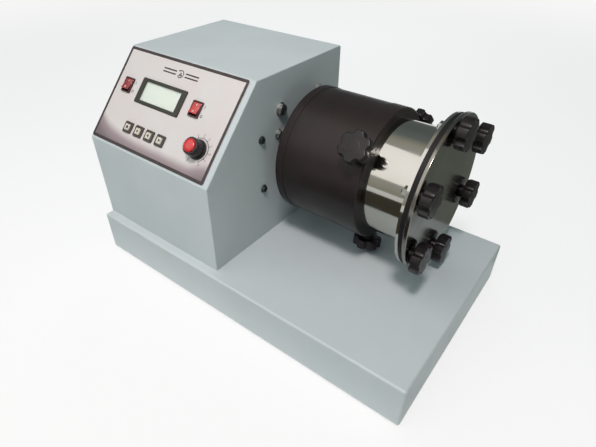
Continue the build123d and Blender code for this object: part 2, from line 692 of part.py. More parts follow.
def display_window():
    width, height = WINDOW_WIDTH + 2 * BEZEL_LIP, WINDOW_HEIGHT + 2 * BEZEL_LIP
    pane = Box(width - 2 * KEY_GAP, height - 2 * KEY_GAP, WINDOW_THICKNESS, align=DOWNWARD)
    return PANEL * Pos(DISPLAY_ACROSS, DISPLAY_UP, window_level()) * pane


def module_board_level():
    """Front face of the display module's board."""
    return window_level() - WINDOW_THICKNESS - SEAT_CLEARANCE - MODULE_DEPTH


def display_module():
    width, height = WINDOW_WIDTH + 2 * BEZEL_LIP, WINDOW_HEIGHT + 2 * BEZEL_LIP
    cell = Box(width - 2 * KEY_GAP, height - 2 * KEY_GAP, MODULE_DEPTH, align=UPWARD)
    board = Box(DISPLAY_WIDTH, MODULE_BOARD_HEIGHT, BOARD_THICKNESS, align=DOWNWARD)
    return PANEL * Pos(DISPLAY_ACROSS, DISPLAY_UP, module_board_level()) * (cell + board)


def key_housings():
    """Square key frames, each with a collar through the panel and a wider bore behind."""
    depth = KEY_DEPTH + KEY_SKIRT_THICKNESS + KEY_TRAVEL
    frame = Box(KEY_FRAME_SIZE, KEY_FRAME_SIZE, KEY_FRAME_RISE, align=UPWARD)
    frame = fillet(frame.edges().filter_by(Axis.Z), KEY_FRAME_RISE)
    collar = Box(KEY_COLLAR_SIZE, KEY_COLLAR_SIZE, depth, align=DOWNWARD)
    bore = KEY_SIZE + 2 * KEY_GAP
    narrow = Box(bore, bore, 4 * depth)
    wide = Box(bore + 2 * KEY_SKIRT, bore + 2 * KEY_SKIRT, 4 * depth, align=DOWNWARD)
    skirt_top = -(KEY_DEPTH - KEY_SKIRT_THICKNESS)
    housing = frame + collar - narrow - Pos(0, 0, skirt_top) * wide
    return group(PANEL * Pos(across, KEY_UP, FASCIA_THICKNESS) * housing for across in key_places())


def key(across):
    """Push key: cap above the frame, skirt below that keeps it in."""
    top = KEY_FRAME_RISE + KEY_RISE
    cap = Pos(0, 0, top) * Box(KEY_SIZE, KEY_SIZE, top + KEY_DEPTH, align=DOWNWARD)
    cap = fillet(cap.edges().filter_by(Axis.Z), KEY_SKIRT)
    cap = chamfer(cap.faces().sort_by(Axis.Z)[-1].outer_wire().edges(), KEY_EDGE)
    size = KEY_SIZE + 2 * KEY_SKIRT
    skirt = Pos(0, 0, -KEY_DEPTH) * Box(size, size, KEY_SKIRT_THICKNESS - KEY_GAP, align=UPWARD)
    return PANEL * Pos(across, KEY_UP, FASCIA_THICKNESS) * (cap + skirt)


def tact_top():
    """Top of the switch under a key, that the key meets at the end of its travel."""
    return FASCIA_THICKNESS - KEY_DEPTH - KEY_TRAVEL - KEY_GAP


def control_board():
    """Board behind the keys with one small switch under each."""
    level = tact_top() - TACT_HEIGHT
    width = KEY_PITCH * (KEY_COUNT - 1) + KEY_FRAME_SIZE + 2 * CONTROL_BOARD_MARGIN
    height = KEY_FRAME_SIZE + 2 * CONTROL_BOARD_MARGIN
    board = Pos(KEY_ACROSS, KEY_UP, level) * Box(width, height, BOARD_THICKNESS, align=DOWNWARD)
    for across in key_places():
        board += Pos(across, KEY_UP, level) * Box(TACT_SIZE, TACT_SIZE, TACT_HEIGHT, align=UPWARD)
    return PANEL * board


def board_standoffs():
    """Pillars from the panel's back to the corners of both boards."""
    level = tact_top() - TACT_HEIGHT
    reach_x = KEY_PITCH * (KEY_COUNT - 1) / 2 + KEY_FRAME_SIZE / 2 + CONTROL_BOARD_MARGIN - STANDOFF_RADIUS
    reach_y = KEY_FRAME_SIZE / 2 + CONTROL_BOARD_MARGIN - STANDOFF_RADIUS
    pillar = Cylinder(STANDOFF_RADIUS, -SHEET - level, align=UPWARD)
    places = [(KEY_ACROSS + x, KEY_UP + y, level) for x, y in corners(reach_x, reach_y)]
    pillars = [Pos(*place) * pillar for place in places]
    level = module_board_level()
    reach_x = DISPLAY_WIDTH / 2 - STANDOFF_RADIUS
    reach_y = MODULE_BOARD_HEIGHT / 2 - STANDOFF_RADIUS
    pillar = Cylinder(STANDOFF_RADIUS, -SHEET - level, align=UPWARD)
    places = [(DISPLAY_ACROSS + x, DISPLAY_UP + y, level) for x, y in corners(reach_x, reach_y)]
    pillars += [Pos(*place) * pillar for place in places]
    return group(PANEL * pillar for pillar in pillars)


def switch_bodies():
    """Both rocker switch bodies: frame on the label, body behind, a pocket for the rocker."""
    frame = Box(SWITCH_WIDTH, SWITCH_HEIGHT, SWITCH_RISE, align=UPWARD)
    frame = fillet(frame.edges().filter_by(Axis.Z), SWITCH_WALL)
    body = Box(SWITCH_WIDTH - SWITCH_WALL, SWITCH_HEIGHT - SWITCH_WALL, SWITCH_DEPTH, align=DOWNWARD)
    floor = SWITCH_RISE - ROCKER_RADIUS - 2 * ROCKER_GAP - ROCKER_RISE
    pocket = Pos(0, 0, floor) * Box(
        SWITCH_WIDTH - 2 * SWITCH_WALL, SWITCH_HEIGHT - 2 * SWITCH_WALL, SWITCH_DEPTH, align=UPWARD
    )
    switch = frame + body - pocket
    places = (MAINS_SWITCH_ACROSS, RUN_SWITCH_ACROSS)
    return group(PANEL * Pos(across, SWITCH_UP, FASCIA_THICKNESS) * switch for across in places)


def rocker_pivot_level():
    """Height of a rocker's pivot over the slope."""
    return FASCIA_THICKNESS + SWITCH_RISE - ROCKER_RADIUS / 2


def rocker(across):
    """Rocker, tipped to its off side: two wings that meet in a shallow valley, round hub below."""
    wing = SWITCH_HEIGHT / 2 - SWITCH_WALL - ROCKER_GAP
    width = SWITCH_WIDTH - 2 * SWITCH_WALL - 2 * ROCKER_GAP
    top = ROCKER_RADIUS / 2 + ROCKER_RISE - SWITCH_RISE
    reach = (wing * wing - top * top) ** 0.5
    valley = (0, top - ROCKER_VALLEY)
    wings = [(-reach, top), valley, (reach, top), (reach, top - ROCKER_WING), (-reach, top - ROCKER_WING)]
    profile = make_face(Polyline(*wings, close=True)) + Circle(ROCKER_RADIUS)
    above = Rectangle(2 * reach, 2 * ROCKER_RADIUS, align=(Align.CENTER, Align.MIN))
    profile = profile - Pos(0, top) * above
    profile = profile - make_face(Polyline((-reach, top), (reach, top), valley, close=True))
    side = Pos(-width / 2, 0, 0) * extrude(Plane.YZ * profile, width)
    return PANEL * Pos(across, SWITCH_UP, rocker_pivot_level()) * Rot(-ROCKER_TILT, 0, 0) * side


def speed_potentiometer():
    """Potentiometer behind the panel, its threaded bush through it and the nut on the label."""
    body = Pos(0, 0, -SHEET) * Cylinder(POT_RADIUS, POT_DEPTH, align=DOWNWARD)
    bush = Pos(0, 0, -SHEET) * Cylinder(BUSH_RADIUS, SHEET + BUSH_RISE, align=UPWARD)
    bore = Cylinder(SPINDLE_RADIUS + RUNNING_CLEARANCE, 2 * BUSH_RISE + 2 * SHEET)
    lock = Pos(0, 0, FASCIA_THICKNESS) * nut(BUSH_RADIUS, POT_NUT_RADIUS, POT_NUT_HEIGHT)
    place = PANEL * Pos(KNOB_ACROSS, KNOB_UP, 0)
    return group([place * (body + bush - bore), place * lock])


def speed_knob():
    """Tall round knob over the potentiometer's nut, on the spindle that it turns."""
    base = FASCIA_THICKNESS + DIAL_KNOB_GAP
    skirt = Cylinder(DIAL_SKIRT_RADIUS, DIAL_SKIRT_HEIGHT, align=UPWARD)
    grip = Cylinder(DIAL_KNOB_RADIUS, DIAL_KNOB_HEIGHT, align=UPWARD)
    hollow = Cylinder(POT_NUT_RADIUS + DIAL_KNOB_WALL, 2 * (BUSH_RISE + DIAL_KNOB_GAP))
    floor = -SHEET + RUNNING_CLEARANCE
    length = DIAL_KNOB_HEIGHT / 2 + base - floor
    spindle = Pos(0, 0, floor - base) * Cylinder(SPINDLE_RADIUS, length, align=UPWARD)
    pointer = Box(DIAL_KNOB_WALL, DIAL_KNOB_WALL, 2 * DIAL_KNOB_HEIGHT, align=UPWARD)
    knob = skirt + grip - hollow - Pos(0, DIAL_KNOB_RADIUS, DIAL_SKIRT_HEIGHT) * pointer + spindle
    return PANEL * Pos(KNOB_ACROSS, KNOB_UP, base) * knob


def speed_knob_cap():
    level = FASCIA_THICKNESS + DIAL_KNOB_GAP + DIAL_KNOB_HEIGHT
    cap = Cylinder(DIAL_CAP_RADIUS, DIAL_CAP_HEIGHT, align=UPWARD)
    cap = fillet(cap.faces().sort_by(Axis.Z)[-1].edges(), DIAL_CAP_EDGE)
    return PANEL * Pos(KNOB_ACROSS, KNOB_UP, level) * cap


# Bearings and shaft

def bearing_plate():
    """Stiffening plate inside the side wall, behind all of the wall's bolts."""
    half = EDGE_BOLT_Y + PLATE_MARGIN
    z = (-EDGE_BOLT_Z - PLATE_MARGIN, FRAME_BOLT_Z + PLATE_MARGIN)
    plate = AXIS * block((PLATE_BACK, WALL - SHEET), (-half, half), z)
    return cut(plate, wall_drills())


def bearing_housings():
    """Flanged housing on the plate, and a pedestal for the shaft's inner end."""
    seat = BEARING_RADIUS + PRESS_CLEARANCE
    half_y, half_z = HOUSING_BOLT_Y + HOUSING_MARGIN, HOUSING_BOLT_Z + HOUSING_MARGIN
    rear = FRONT_BEARING_BACK - BEARING_SHOULDER
    front = block((HOUSING_BACK, PLATE_BACK), (-half_y, half_y), (-half_z, half_z))
    front = fillet(front.edges().filter_by(Axis.X), HOUSING_MARGIN)
    front = front + rod(rear, HOUSING_BACK, BEARING_RADIUS + HOUSING_WALL)
    front = front - rod(FRONT_BEARING_BACK, PLATE_BACK + OVERSHOOT, seat)
    front = front - rod(rear - OVERSHOOT, FRONT_BEARING_BACK, SHAFT_RADIUS + WALL_HOLE_MARGIN)
    bolt = rod(HOUSING_BACK - OVERSHOOT, PLATE_BACK + OVERSHOOT, M8_SHANK + HOLE_CLEARANCE)
    front = cut(front, [Pos(0, y, z) * bolt for y, z in HOUSING_BOLTS])
    floor = PLINTH_TOP - AXIS_Z
    half = STAND_WIDTH / 2
    post = block((STAND_REAR, STAND_FRONT), (-half, half), (floor, 0))
    head = rod(STAND_REAR, STAND_FRONT, BEARING_RADIUS + HOUSING_WALL)
    foot = block((STAND_FRONT - STAND_FOOT_LENGTH, STAND_FRONT), (-half, half), (floor, floor + STAND_FOOT))
    stand = post + head + foot
    stand = stand - rod(STAND_REAR - OVERSHOOT, STAND_FRONT + OVERSHOOT, SHAFT_RADIUS + WALL_HOLE_MARGIN)
    stand = stand - rod(STAND_REAR + BEARING_SHOULDER, STAND_FRONT + OVERSHOOT, seat)
    stand = cut(AXIS * stand, [floor_hole(x, y) for x, y in STAND_BOLTS])
    return group([AXIS * front, stand])


def shaft_bearings():
    """Two ball bearings, each as one ring with shallow shields."""
    race = ring(0, BEARING_WIDTH, BEARING_RADIUS, SHAFT_RADIUS + RUNNING_CLEARANCE)
    third = (BEARING_RADIUS - SHAFT_RADIUS) / 3
    shield = ring(0, EDGE_RADIUS, BEARING_RADIUS - third, SHAFT_RADIUS + third)
    race = race - Pos(-EDGE_RADIUS / 2, 0, 0) * shield - Pos(BEARING_WIDTH - EDGE_RADIUS / 2, 0, 0) * shield
    stations = (FRONT_BEARING_BACK, STAND_REAR + BEARING_SHOULDER)
    return group(AXIS * Pos(station, 0, 0) * race for station in stations)


def wall_bolts():
    """Bolts through the side wall: edge, frame and housing bolts, with nuts inside."""
    plate = SHEET + BEARING_PLATE
    sets = [
        (EDGE_BOLTS, cap_screw, (M6_SHANK, M6_HEAD, M6_HEAD_HEIGHT), plate),
        (FRAME_BOLTS, hex_bolt, (M10_SHANK, M10_HEAD, M10_HEAD_HEIGHT), plate),
        (HOUSING_BOLTS, hex_bolt, (M8_SHANK, M8_HEAD, M8_HEAD_HEIGHT), plate + HOUSING_FLANGE),
    ]
    solids = []
    for points, screw, size, grip in sets:
        shank, head, height = size
        bolt = FACE_X * screw(shank, head, height, grip + height + THREAD_END)
        fixing = Rot(0, -90, 0) * nut(shank, head, height)
        solids += [AXIS * Pos(WALL, y, z) * bolt for y, z in points]
        solids += [AXIS * Pos(WALL - grip, y, z) * fixing for y, z in points]
    return group(solids)


def machine_bolts():
    """Bolts that hold the cabinet, the motor's bracket and the pedestal to the plinth."""
    solids = []
    for points, grip in ((CABINET_BOLTS, SHEET), (BRACKET_BOLTS, BRACKET), (STAND_BOLTS, STAND_FOOT)):
        length = grip + SHEET + M6_HEAD_HEIGHT + THREAD_END
        bolt = cap_screw(M6_SHANK, M6_HEAD, M6_HEAD_HEIGHT, length)
        fixing = FACE_DOWN * nut(M6_SHANK, M6_HEAD, M6_HEAD_HEIGHT)
        solids += [Pos(x, y, PLINTH_TOP + grip) * bolt for x, y in points]
        solids += [Pos(x, y, PLINTH_TOP - SHEET) * fixing for x, y in points]
    face = GEARBOX_SIZE / 2 - FACE_BOLT_INSET
    screw = FACE_X * cap_screw(M6_SHANK, M6_HEAD, M6_HEAD_HEIGHT, BRACKET + M6_HEAD)
    solids += [MOTOR_AXIS * Pos(BRACKET_FRONT, y, z) * screw for y, z in corners(face, face)]
    return group(solids)


def main_shaft():
    return AXIS * rod(SHAFT_END, DRUM_REAR + REAR_PLATE / 2, SHAFT_RADIUS)


def pulley(radius, bore):
    """Flat pulley with a lip each side, between its two stations."""
    outer = radius + PULLEY_LIP
    wheel = ring(PULLEY_REAR, PULLEY_FRONT, outer, bore + PRESS_CLEARANCE)
    groove = ring(PULLEY_REAR + PULLEY_FLANGE, PULLEY_FRONT - PULLEY_FLANGE, outer + OVERSHOOT, radius)
    return wheel - groove


def shaft_pulley():
    return AXIS * pulley(SHAFT_PULLEY_RADIUS, SHAFT_RADIUS)


def motor_pulley():
    """Pulley on the gearbox's output shaft."""
    start = BRACKET_REAR + RUNNING_CLEARANCE
    shaft = rod(start, PULLEY_FRONT + SHAFT_TAIL, MOTOR_SHAFT_RADIUS)
    wheel = pulley(MOTOR_PULLEY_RADIUS, MOTOR_SHAFT_RADIUS)
    return group([MOTOR_AXIS * shaft, MOTOR_AXIS * wheel])


def belt_outline(growth):
    """Hull of the two pulleys in the YZ plane, grown by the given amount."""
    upper = Pos(AXIS_Y, AXIS_Z) * Circle(SHAFT_PULLEY_RADIUS + growth)
    lower = Pos(MOTOR_Y, MOTOR_Z) * Circle(MOTOR_PULLEY_RADIUS + growth)
    return make_hull(upper.edges() + lower.edges())


def drive_belt():
    start = PULLEY_REAR + PULLEY_FLANGE + BELT_SIDE_GAP
    loop = belt_outline(SEAT_CLEARANCE + BELT_THICKNESS) - belt_outline(SEAT_CLEARANCE)
    return prism(loop, start, start + BELT_WIDTH)


# Motor and electrics

def drive_motor():
    """Motor can with an end cap."""
    can = rod(MOTOR_REAR, GEARBOX_REAR, MOTOR_RADIUS)
    cap = rod(MOTOR_REAR - MOTOR_CAP, MOTOR_REAR, MOTOR_CAP_RADIUS)
    return MOTOR_AXIS * (can + cap)


def motor_gearbox():
    half = GEARBOX_SIZE / 2
    body = block((GEARBOX_REAR, BRACKET_REAR), (-half, half), (-half, half))
    body = fillet(body.edges().filter_by(Axis.X), GEARBOX_CORNER)
    face = GEARBOX_SIZE / 2 - FACE_BOLT_INSET
    depth = M6_HEAD + 2 * OVERSHOOT
    drill = rod(BRACKET_REAR - depth, BRACKET_REAR + OVERSHOOT, M6_SHANK + HOLE_CLEARANCE)
    return MOTOR_AXIS * cut(body, [Pos(0, y, z) * drill for y, z in corners(face, face)])


def motor_bracket():
    """Angle bracket: upright plate between gearbox and pulley, foot on the plinth."""
    half = BRACKET_WIDTH / 2
    floor = PLINTH_TOP - MOTOR_Z
    upright = block((BRACKET_REAR, BRACKET_FRONT), (-half, half), (floor, half))
    foot = block((BRACKET_REAR - BRACKET_FOOT, BRACKET_REAR), (-half, half), (floor, floor + BRACKET))
    bracket = upright + foot
    start, end = BRACKET_REAR - OVERSHOOT, BRACKET_FRONT + OVERSHOOT
    bracket = bracket - rod(start, end, MOTOR_SHAFT_RADIUS + MOTOR_HOLE_MARGIN)
    face = GEARBOX_SIZE / 2 - FACE_BOLT_INSET
    drill = rod(start, end, M6_SHANK + HOLE_CLEARANCE)
    bracket = MOTOR_AXIS * cut(bracket, [Pos(0, y, z) * drill for y, z in corners(face, face)])
    return cut(bracket, [floor_hole(x, y) for x, y in BRACKET_BOLTS])


def motor_controller():
    """Drive board with heat sink and capacitors on four pillars."""
    back = CABINET_BACK - SHEET - FLANGE - CONTROLLER_INSET
    level = PLINTH_TOP + CONTROLLER_STANDOFF
    x, y = (CONTROLLER_LEFT, CONTROLLER_RIGHT), (back - CONTROLLER_WIDTH, back)
    board = block(x, y, (level, level + BOARD_THICKNESS))
    top = level + BOARD_THICKNESS
    sink_x = (x[0] + CONTROLLER_INSET, x[1] - HEATSINK_END)
    sink_y = (y[0] + STANDOFF_RADIUS, y[0] + STANDOFF_RADIUS + HEATSINK_WIDTH)
    board += block(sink_x, sink_y, (top, top + HEATSINK_BASE))
    pitch = (HEATSINK_WIDTH - FIN_THICKNESS) / (FIN_COUNT - 1)
    for step in range(FIN_COUNT):
        fin = (sink_y[0] + pitch * step, sink_y[0] + pitch * step + FIN_THICKNESS)
        board += block(sink_x, fin, (top, top + HEATSINK_HEIGHT))
    for step in (1, 2, 3):
        place = Pos(x[0] + step * (x[1] - x[0]) / 4, y[1] - 2 * CAPACITOR_RADIUS, top)
        board += place * Cylinder(CAPACITOR_RADIUS, CAPACITOR_HEIGHT, align=UPWARD)
    pillar = Cylinder(STANDOFF_RADIUS, CONTROLLER_STANDOFF, align=UPWARD)
    for place_x in (x[0] + STANDOFF_RADIUS, x[1] - STANDOFF_RADIUS):
        for place_y in (y[0] + STANDOFF_RADIUS, y[1] - STANDOFF_RADIUS):
            board += Pos(place_x, place_y, PLINTH_TOP) * pillar
    return board


# Drum

def drum_hub():
    """Flanged hub that joins the shaft to the drum's rear plate."""
    hub = rod(DRUM_REAR - HUB_LENGTH, DRUM_REAR, HUB_RADIUS)
    hub += rod(DRUM_REAR - HUB_FLANGE, DRUM_REAR, HUB_FLANGE_RADIUS)
    hub -= rod(DRUM_REAR - HUB_LENGTH - OVERSHOOT, DRUM_REAR + OVERSHOOT, SHAFT_RADIUS + PRESS_CLEARANCE)
    drill = rod(DRUM_REAR - HUB_FLANGE - OVERSHOOT, DRUM_REAR + OVERSHOOT, M8_SHANK + HOLE_CLEARANCE)
    return AXIS * cut(hub, [place * drill for place in on_circle(HUB_BOLT_CIRCLE, HUB_BOLT_COUNT, 0)])


def hub_bolts():
    length = HUB_FLANGE + REAR_PLATE / 2
    bolt = Pos(DRUM_REAR - HUB_FLANGE, 0, 0) * Rot(0, -90, 0) * hex_bolt(
        M8_SHANK, M8_HEAD, M8_HEAD_HEIGHT, length
    )
    return group(AXIS * place * bolt for place in on_circle(HUB_BOLT_CIRCLE, HUB_BOLT_COUNT, 0))


def drum_rear_plate():
    plate = rod(DRUM_REAR, DRUM_FLOOR, DRUM_RADIUS + RIM_STEP)
    plate = chamfer(plate.faces().sort_by(Axis.X)[0].edges(), EDGE_RADIUS)
    half = DRUM_REAR + REAR_PLATE / 2
    plate -= rod(DRUM_REAR - OVERSHOOT, half + RUNNING_CLEARANCE, SHAFT_RADIUS + PRESS_CLEARANCE)
    drill = rod(DRUM_REAR - OVERSHOOT, half + OVERSHOOT, M8_SHANK + HOLE_CLEARANCE)
    return AXIS * cut(plate, [place * drill for place in on_circle(HUB_BOLT_CIRCLE, HUB_BOLT_COUNT, 0)])


def drum_shell():
    return AXIS * ring(DRUM_FLOOR, RING_REAR, DRUM_RADIUS, DRUM_RADIUS - DRUM_WALL)


def clamp_places():
    """The clamps' places round the mouth, each with its own Y axis pointing out."""
    return [Rot(CLAMP_PHASE + 360 * step / CLAMP_COUNT, 0, 0) for step in range(CLAMP_COUNT)]


def drum_mouth_ring():
    """Heavy ring at the mouth with a threaded boss for each clamp screw."""
    outer = rod(RING_REAR, DRUM_MOUTH, DRUM_RADIUS + RIM_STEP)
    outer = chamfer(outer.faces().sort_by(Axis.X)[-1].edges(), EDGE_RADIUS)
    reach = BOSS_TOP - JAR_RADIUS
    for place in clamp_places():
        boss = Cylinder(BOSS_RADIUS, reach, align=UPWARD)
        outer += place * Pos(CLAMP_X, JAR_RADIUS, 0) * FACE_BACK * boss
    outer -= rod(RING_REAR - OVERSHOOT, DRUM_MOUTH + OVERSHOOT, JAR_RADIUS + SEAT_CLEARANCE)
    for place in clamp_places():
        thread = Cylinder(CLAMP_SCREW_RADIUS + RUNNING_CLEARANCE, 4 * reach)
        outer -= place * Pos(CLAMP_X, BOSS_TOP + reach, 0) * FACE_BACK * thread
    return AXIS * outer


def jar_seat():
    """Plastic seat that centres the jar's rear end in the drum."""
    seat = rod(DRUM_FLOOR, DRUM_FLOOR + SEAT_PAD + SEAT_DEPTH, DRUM_RADIUS - DRUM_WALL - PRESS_CLEARANCE)
    floor = DRUM_FLOOR + SEAT_PAD
    seat -= rod(floor, floor + SEAT_DEPTH + OVERSHOOT, JAR_RADIUS + SEAT_CLEARANCE)
    return AXIS * (seat - rod(DRUM_REAR, JAR_REAR, JAR_RADIUS - SEAT_BORE_MARGIN))


def clamp_knob(place):
    """Star knob with its screw through the drum's boss."""
    start = JAR_RADIUS + SEAT_CLEARANCE + PAD_LENGTH + RUNNING_CLEARANCE
    screw = Cylinder(CLAMP_SCREW_RADIUS, CLAMP_HUB - start, align=DOWNWARD)
    knob = star_knob() + screw
    return AXIS * place * Pos(CLAMP_X, CLAMP_HUB, 0) * FACE_BACK * knob


def clamp_pad(place):
    """Pressure pad at the screw's tip, next to the jar."""
    pad = Cylinder(PAD_RADIUS, PAD_LENGTH, align=UPWARD)
    return AXIS * place * Pos(CLAMP_X, JAR_RADIUS + SEAT_CLEARANCE, 0) * FACE_BACK * pad


# Jar and lid

def lid_places():
    """The studs' places on the lid, as turns about the axis and a reach along Y."""
    return on_circle(LID_KNOB_CIRCLE, LID_KNOB_COUNT, LID_KNOB_PHASE)


def jar_body():
    """Jar with its bottom, wall and the flange that the lid's studs go through."""
    jar = rod(JAR_REAR, FLANGE_FACE, JAR_RADIUS)
    jar = chamfer(jar.faces().sort_by(Axis.X)[0].edges(), EDGE_RADIUS)
    jar += rod(FLANGE_REAR, FLANGE_FACE, JAR_FLANGE_RADIUS)
    jar -= rod(JAR_REAR + JAR_BOTTOM, FLANGE_FACE + OVERSHOOT, JAR_BORE)
    drill = rod(FLANGE_REAR - OVERSHOOT, FLANGE_FACE + OVERSHOOT, STUD_RADIUS + STUD_HOLE_CLEARANCE)
    return AXIS * cut(jar, [place * drill for place in lid_places()])


def flange_nuts():
    """Nuts welded behind the flange, one for each stud."""
    blank = extrude(RegularPolygon(FLANGE_NUT_RADIUS, 6), FLANGE_NUT)
    bore = Cylinder(STUD_RADIUS + RUNNING_CLEARANCE, 4 * FLANGE_NUT)
    fixing = Pos(FLANGE_REAR, 0, 0) * Rot(0, -90, 0) * (blank - bore)
    return group(AXIS * place * fixing for place in lid_places())


def grinding_balls():
    """Balls lying in rows along the bottom of the jar."""
    circle = JAR_BORE - BALL_GAP - BALL_RADIUS
    pitch = 2 * BALL_RADIUS + BALL_GAP
    turn = degrees((pitch + BALL_SIDE_GAP) / circle)
    start = JAR_REAR + JAR_BOTTOM + BALL_GAP + BALL_RADIUS
    balls = []
    for row in range(BALL_ROWS):
        for column in range(BALL_COLUMNS):
            angle = -90 + turn * (column - (BALL_COLUMNS - 1) / 2)
            place = Rot(angle, 0, 0) * Pos(start + pitch * row, circle, 0)
            balls.append(AXIS * place * Sphere(BALL_RADIUS))
    return group(balls)


def lid_gasket():
    gasket = ring(FLANGE_FACE, LID_BACK, JAR_FLANGE_RADIUS, JAR_BORE)
    drill = rod(FLANGE_FACE - OVERSHOOT, LID_BACK + OVERSHOOT, STUD_RADIUS + STUD_HOLE_CLEARANCE)
    return AXIS * cut(gasket, [place * drill for place in lid_places()])


def lid_plate():
    """Lid with a spigot that centres it in the jar."""
    lid = rod(LID_BACK, LID_FACE, LID_RADIUS)
    lid = fillet(lid.edges().filter_by(GeomType.CIRCLE), LID_EDGE)
    lid += rod(FLANGE_FACE - SPIGOT, LID_BACK, JAR_BORE - SPIGOT_CLEARANCE)
    drill = rod(LID_BACK - OVERSHOOT, LID_FACE + OVERSHOOT, STUD_RADIUS + RUNNING_CLEARANCE)
    return AXIS * cut(lid, [place * drill for place in lid_places()])


def lid_knob(place):
    """Star knob with its captive stud, which reaches the nut behind the flange."""
    length = LID_FACE - FLANGE_REAR + FLANGE_NUT + STUD_TAIL
    knob = star_knob() + Cylinder(STUD_RADIUS, length, align=DOWNWARD)
    return AXIS * place * Pos(LID_FACE, 0, 0) * FACE_X * knob


def assembly():
    """Every node by its name."""
    nodes = {
        "plinth_shell": plinth_shell(),
        "plinth_bottom_plate": plinth_bottom_plate(),
        "rubber_feet": rubber_feet(),
        "cover_screws": cover_screws(),
        "cabinet_shell": cabinet_shell(),
        "rear_cover": rear_cover(),
        "power_inlet": power_inlet(),
        "control_fascia": control_fascia(),
        "display_bezel": display_bezel(),
        "display_window": display_window(),
        "display_module": display_module(),
        "key_housings": key_housings(),
        "control_board": control_board(),
        "board_standoffs": board_standoffs(),
        "switch_bodies": switch_bodies(),
        "mains_rocker": rocker(MAINS_SWITCH_ACROSS),
        "run_rocker": rocker(RUN_SWITCH_ACROSS),
        "speed_potentiometer": speed_potentiometer(),
        "speed_knob": speed_knob(),
        "speed_knob_cap": speed_knob_cap(),
        "bearing_plate": bearing_plate(),
        "bearing_housings": bearing_housings(),
        "shaft_bearings": shaft_bearings(),
        "wall_bolts": wall_bolts(),
        "machine_bolts": machine_bolts(),
        "main_shaft": main_shaft(),
        "shaft_pulley": shaft_pulley(),
        "motor_pulley": motor_pulley(),
        "drive_belt": drive_belt(),
        "drive_motor": drive_motor(),
        "motor_gearbox": motor_gearbox(),
        "motor_bracket": motor_bracket(),
        "motor_controller": motor_controller(),
        "drum_hub": drum_hub(),
        "hub_bolts": hub_bolts(),
        "drum_rear_plate": drum_rear_plate(),
        "drum_shell": drum_shell(),
        "drum_mouth_ring": drum_mouth_ring(),
        "jar_seat": jar_seat(),
        "jar_body": jar_body(),
        "flange_nuts": flange_nuts(),
        "grinding_balls": grinding_balls(),
        "lid_gasket": lid_gasket(),
        "lid_plate": lid_plate(),
    }
    for number, across in enumerate(key_places(), 1):
        nodes[f"key_{number}"] = key(across)
    for number, place in enumerate(clamp_places(), 1):
        nodes[f"clamp_knob_{number}"] = clamp_knob(place)
        nodes[f"clamp_pad_{number}"] = clamp_pad(place)
    for number, place in enumerate(lid_places(), 1):
        nodes[f"lid_knob_{number}"] = lid_knob(place)
    return nodes


os.makedirs("parts", exist_ok=True)
for name, shape in assembly().items():
    export_step(shape, f"parts/{name}.step")
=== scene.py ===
"""Looks of a bench jar mill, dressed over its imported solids.

X runs from the drive cabinet to the jar's lid, Y to the back and Z up. Sizes are in millimetres, but vectors, such
as AXIS, and finished meshes are in metres.
"""

import json
import logging
import math
from collections.abc import Callable, Iterator, Sequence
from contextlib import contextmanager
from dataclasses import dataclass, field
from enum import Enum

import bmesh
import bpy
from mathutils import Matrix, Vector

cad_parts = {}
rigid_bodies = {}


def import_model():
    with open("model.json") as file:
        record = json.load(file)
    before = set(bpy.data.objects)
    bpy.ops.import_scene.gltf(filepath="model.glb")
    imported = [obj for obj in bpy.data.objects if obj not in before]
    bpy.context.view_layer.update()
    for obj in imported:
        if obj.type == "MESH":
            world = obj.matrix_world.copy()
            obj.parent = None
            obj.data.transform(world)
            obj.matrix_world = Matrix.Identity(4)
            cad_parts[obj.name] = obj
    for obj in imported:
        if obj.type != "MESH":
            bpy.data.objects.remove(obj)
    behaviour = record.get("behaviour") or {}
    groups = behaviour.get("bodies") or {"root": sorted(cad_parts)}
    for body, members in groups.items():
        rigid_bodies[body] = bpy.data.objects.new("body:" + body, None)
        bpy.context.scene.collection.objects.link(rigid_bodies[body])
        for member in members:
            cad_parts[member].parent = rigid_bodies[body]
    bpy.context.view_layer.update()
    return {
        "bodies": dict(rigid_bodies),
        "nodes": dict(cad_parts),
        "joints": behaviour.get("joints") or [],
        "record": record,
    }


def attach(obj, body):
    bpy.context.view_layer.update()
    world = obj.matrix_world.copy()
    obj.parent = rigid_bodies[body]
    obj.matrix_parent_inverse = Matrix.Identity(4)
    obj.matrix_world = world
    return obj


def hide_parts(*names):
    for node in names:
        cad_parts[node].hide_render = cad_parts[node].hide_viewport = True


LOG = logging.getLogger("jar_mill")
MM = 0.001
AXIS = Vector((0.0, 53.0, 211.8)) * MM
WALL = -32.0
PANEL_FOOT = Vector((-300.0, -160.0, 225.5)) * MM
PANEL_TILT = math.atan2(119.5, 113.0)
LABEL_TOP = 1.0
SWITCH_UP = 99.5
SWITCHES_ACROSS = (33.0, 189.0)
KNOB_SPOT = (225.0, 47.0)
PITCH = 1.25
INK = 0.06
TAU = 2.0 * math.pi
WELD = 1e-7
SHARP = math.radians(32.0)
FLAT = math.cos(math.pi / 6)

Colour = tuple[float, float, float, float]
Point = tuple[float, float]
Point3 = tuple[float, float, float]
Socket = bpy.types.NodeSocket
Face = bmesh.types.BMFace


def shade(code: str) -> Colour:
    """Gives the linear colour of a hex code.

    Args:
        code: Six hex digits of an sRGB colour.

    Returns:
        Red, green, blue and an alpha of one.
    """
    parts = [int(code[start:start + 2], 16) / 255 for start in (0, 2, 4)]
    red, green, blue = (p / 12.92 if p <= 0.04045 else ((p + 0.055) / 1.055) ** 2.4 for p in parts)
    return red, green, blue, 1.0


def spun(turn: float, axis: str = "Z") -> Matrix:
    """Gives a turn about an axis by degrees."""
    return Matrix.Rotation(math.radians(turn), 4, axis)


